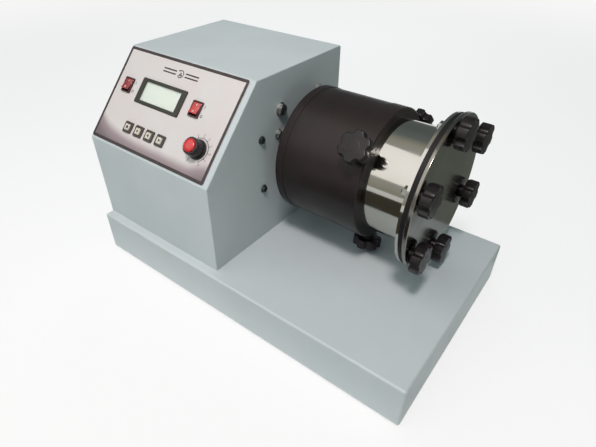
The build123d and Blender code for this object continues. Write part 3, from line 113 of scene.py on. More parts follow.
def at(x: float, y: float, z: float = 0.0, turn: float = 0.0, axis: str = "Z") -> Matrix:
    """Gives a place, turned there about an axis by degrees."""
    return Matrix.Translation((x * MM, y * MM, z * MM)) @ spun(turn, axis)


def panel_place(across: float, up: float, level: float = LABEL_TOP) -> Matrix:
    """Gives a place on the sloping panel, from its lower left corner, with Z along the outward normal."""
    return Matrix.Translation(PANEL_FOOT) @ Matrix.Rotation(PANEL_TILT, 4, "X") @ at(across, up, level)


class Facing(Enum):
    """Direction that a piece built along Z points in, beside the drum."""

    OUTWARD = spun(-90.0, "X")
    ALONG = spun(90.0, "Y")


def drum_place(phase: float, radius: float, station: float, facing: Facing) -> Matrix:
    """Gives a place on a circle round the drum's axis, at degrees from the back towards the top."""
    return Matrix.Translation(AXIS) @ spun(phase, "X") @ at(station, radius) @ facing.value


# Shader graph

@dataclass(frozen=True)
class Signal:
    """Number that varies over a surface, ready for arithmetic."""

    graph: "Graph"
    socket: Socket

    def __add__(self, other: "Signal | float") -> "Signal":
        """Adds."""
        return self.graph.calc("ADD", self, other)

    def __sub__(self, other: "Signal | float") -> "Signal":
        """Takes away."""
        return self.graph.calc("SUBTRACT", self, other)

    def __rsub__(self, other: float) -> "Signal":
        """Takes this from a number."""
        return self.graph.calc("SUBTRACT", other, self)

    def __mul__(self, other: "Signal | float") -> "Signal":
        """Multiplies."""
        return self.graph.calc("MULTIPLY", self, other)

    def __or__(self, other: "Signal") -> "Signal":
        """Gives the larger one."""
        return self.graph.calc("MAXIMUM", self, other)

    __radd__ = __add__
    __rmul__ = __mul__

    def step(self, low: float, high: float) -> "Signal":
        """Rises smoothly from 0 at low to 1 at high."""
        sockets = {"Value": self, "From Min": low, "From Max": high}
        return Signal(self.graph, self.graph.add("MapRange", sockets, interpolation_type="SMOOTHSTEP").outputs[0])


class Graph:
    """Node tree of a material or of the world."""

    def __init__(self, owner: bpy.types.Material | bpy.types.World) -> None:
        """Empties the tree of its owner.

        Args:
            owner: Material or world.
        """
        self.owner = owner
        self.owner.use_nodes = True
        self.tree = self.owner.node_tree
        self.tree.nodes.clear()

    @classmethod
    def material(cls, name: str) -> "Graph":
        """Starts an empty material of that name."""
        return cls(bpy.data.materials.new(name))

    def add(self, kind: str, sockets: dict | None = None, **settings: object) -> bpy.types.Node:
        """Adds a node.

        Args:
            kind: Node type without its ShaderNode prefix.
            sockets: Values, hex colours or links by input name or number.
            **settings: Properties, set first.

        Returns:
            The new node.
        """
        node = self.tree.nodes.new("ShaderNode" + kind)
        for name, value in settings.items():
            setattr(node, name, value)
        for name, value in (sockets or {}).items():
            source = value.socket if isinstance(value, Signal) else value
            if isinstance(source, Socket):
                self.tree.links.new(source, node.inputs[name])
            else:
                node.inputs[name].default_value = shade(source) if isinstance(source, str) else source
        return node

    def ramp(self, factor: Signal, stops: Sequence[tuple[float, str]]) -> Socket:
        """Blends colours along a ramp.

        Args:
            factor: Position on the ramp.
            stops: Positions and hex colours, in rising order.

        Returns:
            The colour.
        """
        node = self.add("ValToRGB", {0: factor})
        elements = node.color_ramp.elements
        while len(elements) < len(stops):
            elements.new(1.0)
        for element, (position, colour) in zip(elements, stops):
            element.position, element.color = position, shade(colour)
        return node.outputs[0]

    def calc(self, operation: str, first: Signal | float, second: Signal | float = 0.0) -> Signal:
        """Adds one Math node and gives its result."""
        return Signal(self, self.add("Math", {0: first, 1: second}, operation=operation).outputs[0])

    def point(self, centre: Sequence[float] = (0, 0, 0), tilt: float = 0.0) -> Socket:
        """Gives object coordinates about a centre in metres, in a frame that is tilted about X by radians."""
        place = {"Vector": self.add("TexCoord").outputs["Object"], "Location": tuple(centre), "Rotation": (tilt, 0, 0)}
        return self.add("Mapping", place, vector_type="TEXTURE").outputs["Vector"]

    def split(self, vector: Socket) -> list[Signal]:
        """Gives the three parts of a vector."""
        return [Signal(self, part) for part in self.add("SeparateXYZ", {"Vector": vector}).outputs]

    def join(self, x: Signal | float, y: Signal | float, z: Signal | float) -> Socket:
        """Makes a vector of three numbers."""
        return self.add("CombineXYZ", {0: x, 1: y, 2: z}).outputs[0]

    def noise(self, vector: Socket, scale: float, detail: float = 2.0) -> Signal:
        """Gives fractal noise with that many features per metre."""
        return Signal(self, self.add("TexNoise", {"Vector": vector, "Scale": scale, "Detail": detail}).outputs[0])

    def mix(
        self, factor: Signal | float, first: Socket | Colour | str, second: Socket | Colour | str, blend: str = "MIX",
    ) -> Socket:
        """Blends two colours."""
        return self.add("Mix", {0: factor, 6: first, 7: second}, data_type="RGBA", blend_type=blend).outputs[2]

    def edges(self, width: float) -> Signal:
        """Gives a mask of the outer and inner edges.

        Args:
            width: Width of the mask.

        Returns:
            1 on the edges and 0 away from them.
        """
        soft = self.add("Bevel", {"Radius": width * MM}, samples=4).outputs[0]
        true = self.add("NewGeometry").outputs["Normal"]
        product = self.add("VectorMath", {0: soft, 1: true}, operation="DOT_PRODUCT")
        return (1.0 - Signal(self, product.outputs["Value"])).step(0.01, 0.12)

    def bump(self, height: Signal, relief: float) -> Socket:
        """Gives a normal for a height of 0 to 1 over that relief."""
        return self.add("Bump", {"Strength": 1.0, "Distance": relief * MM, "Height": height}).outputs[0]

    def ray(self, kind: str) -> Signal:
        """Gives 1 for the rays of a kind and 0 for the others."""
        return Signal(self, self.add("LightPath").outputs[f"Is {kind} Ray"])

    def end(self, shader: bpy.types.Node, kind: str = "Material") -> bpy.types.Material | bpy.types.World:
        """Links a shader to the output and gives the owner."""
        self.add("Output" + kind, {"Surface": shader.outputs[0]})
        return self.owner

    def surface(self, sockets: dict) -> bpy.types.Material:
        """Ends the tree with a Principled shader and gives the material."""
        return self.end(self.add("BsdfPrincipled", sockets))


# Finishes

class Lines(Enum):
    """Direction of the tool marks in a finish."""

    NONE = "none"
    TURNED = "turned"
    MILLED = "milled"


@dataclass(frozen=True)
class Finish:
    """Surface with clouds of two close colours, drifting gloss, fine grain, and rubbed edges with a painted highlight.

    The gloss is the lowest and highest roughness, clouds and grains count per metre, and shine is the specular level.
    """

    name: str
    colour: str
    second: str
    gloss: Point
    cloud: float = 12.0
    grain: float = 900.0
    relief: float = 0.01
    metal: float = 0.0
    coat: float = 0.0
    shine: float = 0.5
    worn: str | None = None
    wear: float = 0.5
    lines: Lines = Lines.NONE

    def marks(self, graph: Graph) -> Signal:
        """Draws the grain or the tool marks.

        Args:
            graph: Tree that is being built.

        Returns:
            Their height, from 0 to 1.
        """
        if self.lines is Lines.NONE:
            return graph.noise(graph.point(), self.grain, 3.0)
        x, y, z = graph.split(graph.point(AXIS))
        if self.lines is Lines.MILLED:
            return graph.noise(graph.join(x * 0.02, y, z), self.grain, 3.0)
        reach = graph.calc("SQRT", y * y + z * z)
        return graph.noise(graph.join(x + reach, y * 0.01, z * 0.01), self.grain, 4.0)

    def build(self) -> bpy.types.Material:
        """Makes the material.

        Returns:
            The material.
        """
        graph = Graph.material(self.name)
        clouds = graph.noise(graph.point(), self.cloud, 4.0).step(0.32, 0.68)
        smudge = graph.noise(graph.point((0.3, 0.1, 0.2)), self.cloud * 3.1, 5.0).step(0.3, 0.75)
        marks = self.marks(graph)
        colour = graph.mix(clouds, self.colour, self.second)
        low, high = self.gloss
        rough = low + (high - low) * (smudge * 0.6 + marks * 0.4)
        # Edge band in its own colour: partly rubbed finish, partly a painted highlight standing in for light on lit
        # edges.
        if self.worn:
            mask = graph.edges(self.wear) * (0.35 + 0.65 * smudge)
            colour = graph.mix(mask, colour, self.worn)
            rough = rough + mask * 0.08
        return graph.surface({
            "Base Color": colour, "Roughness": rough, "Metallic": self.metal, "Specular IOR Level": self.shine,
            "Coat Weight": self.coat, "Coat Roughness": 0.08, "Normal": graph.bump(marks, self.relief),
        })


@dataclass(frozen=True)
class LabelFinish:
    """Printed label: pale ground in two colours with a darker sweep that deepens along its foot.

    The sweep is base high, and higher by left at the left edge, where it falls off over fade, and by right at the
    other end. These are in metres.
    """

    name: str = "printed_label"
    ground: str = "CEC9C8"
    warm: str = "CFC5C4"
    sweep: str = "96868A"
    deep: str = "6E6064"
    base: float = 0.021
    left: float = 0.029
    fade: float = 0.032
    right: float = 0.012

    def build(self) -> bpy.types.Material:
        """Makes the material.

        Returns:
            The material.
        """
        graph = Graph.material(self.name)
        place = graph.point(PANEL_FOOT, PANEL_TILT)
        x, y, _ = graph.split(place)
        left = self.left * graph.calc("EXPONENT", x * (-1.0 / self.fade))
        right = self.right * x.step(0.215, 0.262)
        ripple = 0.004 * graph.noise(place, 22.0, 1.0)
        depth = self.base + left + right + ripple - y
        body = graph.mix(graph.noise(place, 14.0, 3.0).step(0.35, 0.65), self.ground, self.warm)
        swept = graph.mix(depth.step(-0.004, 0.012), body, self.sweep)
        deep = graph.mix(depth.step(0.006, 0.03), swept, self.deep)
        grain = graph.noise(place, 1600.0, 2.0)
        smudge = graph.noise(place, 35.0, 5.0).step(0.35, 0.7)
        rough = 0.3 + 0.16 * smudge + 0.05 * grain
        return graph.surface({"Base Color": deep, "Roughness": rough, "Normal": graph.bump(grain, 0.004)})


@dataclass(frozen=True)
class ScreenFinish:
    """Pale display cell with a faint row grid and a soft glow."""

    name: str = "display_cell"
    ground: str = "D4DBD1"
    shadow: str = "BFC8BA"
    pitch: Point = (0.0037, 0.0068)

    def build(self) -> bpy.types.Material:
        """Makes the material.

        Returns:
            The material.
        """
        graph = Graph.material(self.name)
        place = graph.point(PANEL_FOOT, PANEL_TILT)
        x, y, _ = graph.split(place)
        columns = graph.calc("SINE", x * (TAU / self.pitch[0])).step(-0.9, -0.5)
        rows = graph.calc("SINE", y * (TAU / self.pitch[1])).step(-0.9, -0.6)
        drift = graph.noise(place, 25.0, 2.0)
        colour = graph.mix(drift * 0.35 + columns * rows * 0.4, self.ground, self.shadow)
        return graph.surface({
            "Base Color": colour, "Roughness": 0.25 + 0.1 * drift, "Emission Color": colour,
            "Emission Strength": 0.15, "Normal": graph.bump(drift, 0.002),
        })


@dataclass(frozen=True)
class PaneFinish:
    """Clear cover with fine wiping marks."""

    name: str = "display_glass"
    tint: str = "E6EBE4"

    def build(self) -> bpy.types.Material:
        """Makes the material.

        Returns:
            The material.
        """
        graph = Graph.material(self.name)
        wipe = graph.noise(graph.point(PANEL_FOOT, PANEL_TILT), 90.0, 4.0)
        return graph.surface({
            "Base Color": graph.mix(wipe, self.tint, "FFFFFF"),
            "Roughness": 0.04 + 0.1 * wipe, "Alpha": 0.22, "Normal": graph.bump(wipe, 0.001),
        })


FINISHES: dict[str, Finish | LabelFinish | ScreenFinish | PaneFinish] = {finish.name: finish for finish in (
    LabelFinish(), ScreenFinish(), PaneFinish(),
    # Powder coat: the pale edge band paints the highlight along lit folds, besides rubbed paint.
    Finish("powder_coat", "C0C7C9", "BBC2C5", (0.42, 0.58), 7.0, 1100.0, 0.02, worn="D2D6D5", wear=0.9),
    Finish("zinc_plate", "A9ABAA", "8F9496", (0.3, 0.5), cloud=40.0, metal=1.0, relief=0.006),
    Finish("foot_rubber", "1B1B1B", "232322", (0.7, 0.85), relief=0.03),
    Finish("zinc_screws", "B4B6B4", "9A9C98", (0.2, 0.36), 120.0, metal=1.0, relief=0.004, worn="D6D6D2", wear=0.3),
    Finish("side_bolts", "D4D6D2", "B4B8B4", (0.24, 0.42), 130.0, metal=1.0, relief=0.006, worn="DADCD8", wear=0.4),
    Finish("dark_bolts", "5C6664", "3C4442", (0.3, 0.5), 130.0, metal=0.8, relief=0.006, worn="8C9290", wear=0.3),
    Finish("inlet_plastic", "1C1C1D", "242425", (0.4, 0.55), grain=2200.0, relief=0.012),
    Finish("label_ink", "2E2427", "3A2F32", (0.32, 0.46), cloud=30.0, relief=0.003),
    Finish("bezel_plastic", "23261C", "2B2D23", (0.3, 0.45), grain=2400.0, relief=0.008, worn="4A4C42", wear=0.25),
    Finish("circuit_board", "1F5A38", "17482C", (0.25, 0.4), cloud=90.0, relief=0.02),
    Finish("standoff_brass", "C9A35A", "B48C46", (0.2, 0.34), cloud=90.0, metal=1.0, relief=0.004),
    Finish("switch_plastic", "3A2426", "44292B", (0.35, 0.5), grain=2400.0, worn="6A4A4A", wear=0.3),
    Finish("red_rocker", "B83A3C", "C44A48", (0.16, 0.3), cloud=80.0, relief=0.003, coat=0.5),
    Finish("dark_red_rocker", "8A2E33", "9A383A", (0.16, 0.3), cloud=80.0, relief=0.003, coat=0.5),
    Finish("key_plastic", "CFC6BC", "C4BBB0", (0.36, 0.5), 90.0, 2600.0, 0.008, worn="DDD5CC", wear=0.3),
    Finish("key_frame", "3A332E", "453D37", (0.38, 0.55), grain=2400.0, worn="6E655E", wear=0.25),
    Finish("control_steel", "A4A6A6", "8C8E8E", (0.25, 0.4), cloud=90.0, metal=1.0, relief=0.004),
    Finish("knob_plastic", "141314", "1B1A1A", (0.28, 0.42), 60.0, 2200.0, 0.006, worn="3A3838", wear=0.25),
    Finish("pointer_white", "E8E6E0", "DAD8D0", (0.4, 0.55), cloud=90.0, relief=0.004),
    Finish("red_cap", "C9282A", "BE2024", (0.18, 0.32), cloud=70.0, relief=0.004, coat=0.6),
    Finish("steel_plate", "8E9092", "787B7E", (0.32, 0.5), cloud=25.0, metal=1.0, lines=Lines.MILLED),
    Finish("housing_iron", "4C5052", "3E4244", (0.5, 0.7), cloud=60.0, grain=500.0, relief=0.09, metal=0.5),
    Finish("bearing_steel", "B0B2B2", "9EA0A2", (0.12, 0.24), metal=1.0, lines=Lines.TURNED),
    Finish(
        "pulley_aluminium", "C2C4C4", "B0B3B4", (0.2, 0.36), relief=0.012, metal=1.0, lines=Lines.TURNED,
        worn="E0E2E2", wear=0.4,
    ),
    Finish("belt_rubber", "1A1A1B", "222222", (0.6, 0.8), grain=700.0, relief=0.04),
    Finish("motor_paint", "1E1F22", "26272A", (0.28, 0.42), worn="8A8A88"),
    Finish("gearbox_aluminium", "A0A3A4", "8E9192", (0.35, 0.52), metal=1.0, worn="8A8A88"),
    Finish("drum_paint", "1F191B", "271F1E", (0.3, 0.44), 9.0, 420.0, 0.003, shine=0.26, worn="4A4242", wear=0.6),
    Finish("seat_nylon", "D8D4C8", "CCC8BA", (0.4, 0.55), lines=Lines.TURNED, relief=0.02),
    Finish("star_knob_plastic", "141012", "1B1518", (0.3, 0.46), 60.0, 1500.0, 0.004, shine=0.34, worn="453D3F"),
    Finish("knob_insert", "B8B8B4", "9C9C98", (0.18, 0.3), cloud=140.0, metal=1.0, relief=0.004),
    Finish("pad_brass", "C4A05C", "B08A48", (0.22, 0.36), cloud=90.0, metal=1.0, relief=0.004),
    Finish("jar_steel", "BAB9B3", "ADABA2", (0.06, 0.16), 6.0, 2600.0, 0.0012, 1.0, lines=Lines.TURNED),
    Finish("ball_steel", "BEBEBC", "AAAAA8", (0.06, 0.2), cloud=120.0, metal=1.0, relief=0.002),
    Finish("gasket_rubber", "131212", "1B1919", (0.5, 0.68), grain=1400.0, shine=0.25),
    # Lid steel: the bright edge band paints the highlight along the lid's rim, besides rubbed steel.
    Finish(
        "lid_steel", "8E8C86", "7C7A74", (0.14, 0.26), 8.0, 1900.0, 0.0016, 1.0, lines=Lines.TURNED,
        worn="E4E4DE", wear=0.7,
    ),
)}


class Palette:
    """Materials by finish name, each made once."""

    def __init__(self) -> None:
        """Starts with no material made."""
        self.made: dict[str, bpy.types.Material] = {}

    def get(self, name: str) -> bpy.types.Material:
        """Gives the material of a finish."""
        self.made[name] = self.made.get(name) or FINISHES[name].build()
        return self.made[name]


# Shaping

class Workpiece:
    """Mesh that is built about its own Z axis, from sizes in millimetres."""

    def __init__(self) -> None:
        """Starts an empty mesh."""
        self.bm = bmesh.new()

    @contextmanager
    def part(self, finish: int | None = None, place: Matrix | None = None) -> Iterator[None]:
        """Paints and places what is built inside the block.

        Args:
            finish: Number of the finish, or none to leave it.
            place: Transform of what was built, or none.
        """
        verts, faces = set(self.bm.verts), set(self.bm.faces)
        yield
        if finish is not None:
            for face in self.bm.faces:
                if face not in faces:
                    face.material_index = finish
        if place is not None:
            bmesh.ops.transform(self.bm, matrix=place, verts=[v for v in self.bm.verts if v not in verts])

    def corner(self, x: float, y: float, z: float) -> bmesh.types.BMVert:
        """Adds a corner."""
        return self.bm.verts.new((x * MM, y * MM, z * MM))

    def turned(self, profile: Sequence[Point], steps: int = 48) -> None:
        """Spins a profile that ends on the axis or at its own start.

        Args:
            profile: Radius and height of each point.
            steps: Divisions of the full turn.
        """
        known = set(self.bm.verts)
        verts = [self.corner(radius, 0.0, height) for radius, height in profile]
        edges = [self.bm.edges.new(pair) for pair in zip(verts, verts[1:])]
        bmesh.ops.spin(
            self.bm, geom=verts + edges, cent=(0, 0, 0), axis=(0, 0, 1), angle=TAU, steps=steps, use_merge=True,
        )
        bmesh.ops.remove_doubles(self.bm, verts=[v for v in self.bm.verts if v not in known], dist=WELD)

    def swept(self, section: Sequence[Point], turn: float, steps: int, rise: float = 0.0) -> None:
        """Spins a closed section part of a turn, or along a helix.

        Args:
            section: Radius and height of its corners.
            turn: Angle in degrees.
            steps: Divisions of that angle.
            rise: Climb of each step.
        """
        face = self.bm.faces.new([self.corner(radius, 0.0, height) for radius, height in section])
        bmesh.ops.spin(
            self.bm, geom=[face, *face.edges, *face.verts], cent=(0, 0, 0), axis=(0, 0, 1), angle=math.radians(turn),
            steps=steps, dvec=(0, 0, rise * MM),
        )

    def threaded(self, radius: float, low: float, high: float) -> None:
        """Adds a screw thread.

        Args:
            radius: Radius over the crests.
            low: Height where the thread starts.
            high: Height where it ends.
        """
        steps, core = 20, radius - 0.6 * PITCH
        turns = int((high - low) / PITCH) - 1
        section = [(core, low), (radius, low + 0.45 * PITCH), (core, low + 0.9 * PITCH)]
        self.swept(section, 360.0 * turns, steps * turns, PITCH / steps)

    def raised(self, face: Face, height: float, edge: float) -> Face:
        """Raises a face into a solid and rounds its upper rim.

        Args:
            face: Foot of the solid.
            height: Height of the solid.
            edge: Width of the rounding, or 0.

        Returns:
            The top of the solid.
        """
        known = set(self.bm.faces)
        fresh = bmesh.ops.extrude_face_region(self.bm, geom=[face], use_keep_orig=True)["geom"]
        verts = [item for item in fresh if isinstance(item, bmesh.types.BMVert)]
        bmesh.ops.translate(self.bm, verts=verts, vec=(0, 0, height * MM))
        if edge:
            self.round([item for item in fresh if isinstance(item, bmesh.types.BMEdge)], edge)
        self.bm.normal_update()
        return max(set(self.bm.faces) - known, key=lambda item: item.calc_center_median().z)

    def disc(
        self, radius: float, low: float, high: float, steps: int = 48, edge: float = 0.0,
        shape: Callable[[float], float] | None = None,
    ) -> Face:
        """Raises a circle, or what a shape makes of it.

        Args:
            radius: Radius of the circle.
            low: Height of the foot.
            high: Height of the top.
            steps: Corners of the circle.
            edge: Width of the rounding on the upper rim.
            shape: Gives the share of the radius at a turn in radians.

        Returns:
            The top of the solid.
        """
        ring = bmesh.ops.create_circle(self.bm, cap_ends=True, radius=radius * MM, segments=steps)["verts"]
        for vert in ring:
            share = shape(math.atan2(vert.co.y, vert.co.x)) if shape else 1.0
            vert.co = Vector((vert.co.x * share, vert.co.y * share, low * MM))
        return self.raised(ring[0].link_faces[0], high - low, edge)

    def slab(self, size: Point, low: float, high: float, corner: float = 0.0, edge: float = 0.0) -> Face:
        """Raises a rectangle with rounded corners and a rounded upper rim, and gives its top."""
        return self.raised(self.sheet(size, low, corner), high - low, edge)

    def sheet(self, size: Point, level: float, corner: float) -> Face:
        """Lays a rectangle about the Z axis.

        Args:
            size: Width and height.
            level: Its height.
            corner: Radius of the corners, or 0.

        Returns:
            Its face.
        """
        known = set(self.bm.faces)
        place = at(0.0, 0.0, level) @ Matrix.Diagonal((size[0] * MM, size[1] * MM, 1.0, 1.0))
        verts = bmesh.ops.create_grid(self.bm, x_segments=1, y_segments=1, size=0.5, matrix=place)["verts"]
        if corner:
            bmesh.ops.bevel(
                self.bm, geom=verts, offset=corner * MM, segments=5, profile=0.5, affect="VERTICES", material=-1,
            )
        face = next(face for face in self.bm.faces if face not in known)
        face.normal_update()
        return face

    def arched(self, radius: float, centre: float, start: float, end: float, width: float, level: float) -> None:
        """Builds a block with one side that bends about a line along X, and a flat side across from it.

        Args:
            radius: Radius of the bent side.
            centre: Height of the line.
            start: Angle where the bent side starts, in degrees.
            end: Angle where it ends.
            width: Size of the block along X.
            level: Height of the flat side.
        """
        first, known = math.radians(start), set(self.bm.faces)
        y, z = radius * math.cos(first), centre + radius * math.sin(first)
        verts = [self.corner(side * width / 2, y, z) for side in (-1, 1)]
        bmesh.ops.spin(
            self.bm, geom=[*verts, self.bm.edges.new(verts)], cent=(0, 0, centre * MM), axis=(1, 0, 0),
            angle=math.radians(end - start), steps=12,
        )
        strip = [face for face in self.bm.faces if face not in known]
        bmesh.ops.recalc_face_normals(self.bm, faces=strip)
        for item in bmesh.ops.extrude_face_region(self.bm, geom=strip, use_keep_orig=True)["geom"]:
            if isinstance(item, bmesh.types.BMVert):
                item.co.z = level * MM

    def round(self, edges: Sequence[bmesh.types.BMEdge], width: float, segments: int = 3) -> None:
        """Bevels edges.

        Args:
            edges: Edges to round.
            width: Width of the bevel.
            segments: Steps across it.
        """
        bmesh.ops.bevel(
            self.bm, geom=list(edges), offset=width * MM, segments=segments, profile=0.5, affect="EDGES",
            material=-1, clamp_overlap=True,
        )

    def inset(self, face: Face, width: float, depth: float = 0.0, even: bool = True) -> None:
        """Insets a face and lifts it.

        Args:
            face: Face to make smaller.
            width: Width of the rim that is left round it.
            depth: How far it rises.
            even: Whether the rim keeps its width at corners.
        """
        bmesh.ops.inset_region(
            self.bm, faces=[face], thickness=width * MM, depth=depth * MM, use_boundary=True, use_even_offset=even,
        )


# Sub-assemblies

@dataclass
class Assembly:
    """Pieces that are built together, with materials from one palette."""

    palette: Palette
    pieces: list[bpy.types.Object] = field(default_factory=list, init=False)

    def finish(
        self, work: Workpiece, name: str, finishes: Sequence[str], body: str, place: Matrix,
        replaces: Sequence[str] = (), slot: str = "",
    ) -> None:
        """Turns a mesh into a finished piece.

        Args:
            work: The mesh.
            name: Name of the piece.
            finishes: Finish names by number.
            body: Body that the piece moves with.
            place: Place of the whole mesh.
            replaces: Solids that the piece stands for.
            slot: Material slot of the record, if it isn't the first finish; not used.
        """
        bmesh.ops.transform(work.bm, matrix=place, verts=work.bm.verts)
        bmesh.ops.recalc_face_normals(work.bm, faces=work.bm.faces)
        mesh = bpy.data.meshes.new(name)
        work.bm.to_mesh(mesh)
        work.bm.free()
        mesh.shade_smooth()
        mesh.set_sharp_from_angle(angle=SHARP)
        for finish in finishes:
            mesh.materials.append(self.palette.get(finish))
        piece = bpy.data.objects.new(name, mesh)
        bpy.context.scene.collection.objects.link(piece)
        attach(piece, body)
        if replaces:
            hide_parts(*replaces)
        self.pieces.append(piece)


@dataclass(frozen=True)
class KnobRing:
    """Ring of equal knobs round the drum's axis, with the thread's radius and the height of the stud's tip."""

    name: str
    count: int
    first: float
    radius: float
    station: float
    facing: Facing
    thread: float
    tip: float


@dataclass
class StarKnobs(Assembly):
    """Star grips on the clamps and the lid, each with a cap, a hub and a threaded stud."""

    rings: tuple[KnobRing, ...] = (
        KnobRing("clamp_knob", 3, 19.0, 108.8, 124.0, Facing.OUTWARD, 5.0, -18.4),
        KnobRing("lid_knob", 6, 35.0, 100.0, 223.0, Facing.ALONG, 4.0, -27.0),
    )
    radius: float = 22.5
    valley: float = 6.5
    reach: float = 25.0
    blend: float = 1.1
    lobes: int = 6
    hub: float = 4.0
    hub_radius: float = 10.0
    top: float = 19.3
    edge: float = 2.4
    cap: float = 9.0
    insert: float = 7.8

    def share(self, turn: float) -> float:
        """Shapes the star, with an eased corner between lobe and valley.

        Args:
            turn: Place on the rim, in radians.

        Returns:
            The share of the full radius there.
        """
        sector = TAU / self.lobes
        local = (turn + sector / 2) % sector - sector / 2
        inside = self.valley ** 2 - (self.reach * math.sin(local)) ** 2
        if inside <= 0:
            return 1.0
        dip = self.reach * math.cos(local) - math.sqrt(inside)
        ease = max(0.0, min(1.0, 0.5 + (self.radius - dip) / (2 * self.blend)))
        return (self.radius + (dip - self.radius) * ease - self.blend * ease * (1 - ease)) / self.radius

    def head(self, work: Workpiece) -> None:
        """Builds the lobed head, rounded above and below, and the low cap on it.

        Args:
            work: Mesh that is being built.
        """
        work.disc(self.radius, self.hub, self.top, 120, 0.0, self.share)
        rims = [edge for edge in work.bm.edges if abs(edge.verts[0].co.z - edge.verts[1].co.z) < WELD]
        work.round(rims, self.edge, 4)
        cap, rise = self.cap, self.top
        work.turned([
            (0.0, rise + 0.65), (cap * 0.5, rise + 0.6), (cap * 0.85, rise + 0.45), (cap, rise + 0.2),
            (cap, rise - 0.6), (0.0, rise - 0.6),
        ])

    def stud(self, work: Workpiece, radius: float, low: float) -> None:
        """Builds the hub, its steel insert and the threaded stud.

        Args:
            work: Mesh that is being built.
            radius: Radius of the thread.
            low: Height of the stud's tip.
        """
        wide, hub, insert, core = self.hub_radius, self.hub, self.insert, radius - 0.7
        work.turned([
            (0.0, 0.3), (insert, 0.3), (insert, 0.0), (wide - 0.6, 0.0), (wide, 0.6), (wide, hub - 1.0),
            (wide + 1.0, hub + 0.5), (0.0, hub + 0.5),
        ])
        with work.part(1):
            work.turned([(0.0, 0.02), (insert - 0.4, 0.02), (insert - 0.4, 0.8), (0.0, 0.8)])
            work.turned([(0.0, low), (core - 1.0, low), (core, low + 1.0), (core, 0.5), (0.0, 0.5)])
            work.threaded(radius, low + 0.8, 0.0)

    def build(self) -> None:
        """Builds every knob."""
        for ring in self.rings:
            for number in range(ring.count):
                work, name = Workpiece(), f"{ring.name}_{number + 1}"
                self.head(work)
                self.stud(work, ring.thread, ring.tip)
                place = drum_place(ring.first + 360.0 * number / ring.count, ring.radius, ring.station, ring.facing)
                self.finish(work, f"{name}_grip", ("star_knob_plastic", "knob_insert"), name, place, [name])


@dataclass(frozen=True)
class Bolt:
    """Size and places, from the drum's axis, of one kind of bolt through the side wall."""

    places: tuple[Point, ...]
    shank: float
    head: float
    height: float
    grip: float
    socket: bool = False


@dataclass
class WallBolts(Assembly):
    """Bolts through the cabinet's side wall, with washers outside and nuts inside."""

    kinds: tuple[Bolt, ...] = (
        Bolt(((-96, -42.5), (-96, 42.5), (96, -42.5), (96, 42.5)), 3.0, 5.0, 4.0, 10.0, True),
        Bolt(((-50, 76), (50, 76)), 5.0, 9.0, 6.4, 10.0),
        Bolt(((-56, -37), (-56, 37), (56, -37), (56, 37)), 4.0, 6.8, 5.5, 22.0),
    )
    washer: float = 1.1
    overhang: float = 1.6

    def hexagonal(self, turn: float) -> float:
        """Gives the share of a hexagon's radius at a turn."""
        return FLAT / math.cos(turn % (math.pi / 3) - math.pi / 6)

    def hexagon(self, work: Workpiece, radius: float, low: float, high: float) -> None:
        """Adds a hexagon whose upper corners are turned off, with a low boss on top.

        Args:
            work: Mesh that is being built.
            radius: Radius over the corners.
            low: Height of the foot.
            high: Height of the top.
        """
        crown, boss = work.disc(radius, low, high, 48, 0.0, self.hexagonal), radius * FLAT * 0.88
        for vert in crown.verts:
            vert.co.z -= (vert.co.to_2d().length - radius * FLAT * 0.97 * MM) * 0.7
        work.turned([(0.0, high + 0.1), (boss, high + 0.05), (boss, high - 1.0), (0.0, high - 1.0)], 32)

    def socket_head(self, work: Workpiece, radius: float, low: float, high: float) -> None:
        """Adds a round head with a hexagon socket.

        Args:
            work: Mesh that is being built.
            radius: Radius of the head.
            low: Height of the foot.
            high: Height of the top.
        """
        crown = work.disc(radius, low, high, 48, 0.5)
        work.inset(crown, radius * 0.3)
        for vert in crown.verts:
            across = vert.co.to_2d()
            across *= radius * MM * 0.56 * self.hexagonal(math.atan2(across.y, across.x)) / across.length
            vert.co.xy = across
        work.inset(crown, 0.05, -2.0, False)

    def build(self) -> None:
        """Builds every bolt."""
        work, washer = Workpiece(), self.washer
        for kind in self.kinds:
            shank, head, tip = kind.shank, kind.head, -kind.grip - kind.height
            rim = head + self.overhang
            for y, z in kind.places:
                with work.part(int(kind.socket), Matrix.Translation(AXIS) @ at(WALL, y, z, 90.0, "Y")):
                    work.turned([
                        (shank, 0.0), (rim, 0.0), (rim, washer * 0.7), (rim - 0.3, washer), (shank, washer),
                        (shank, 0.0),
                    ], 40)
                    (self.socket_head if kind.socket else self.hexagon)(work, head, washer, kind.height)
                    work.turned([(0.0, washer), (shank, washer), (shank, tip), (0.0, tip - 0.8)], 24)
                    self.hexagon(work, head, tip, -kind.grip)
        finishes = ("side_bolts", "dark_bolts")
        self.finish(work, "side_wall_bolts", finishes, "base", Matrix.Identity(4), ["wall_bolts"])


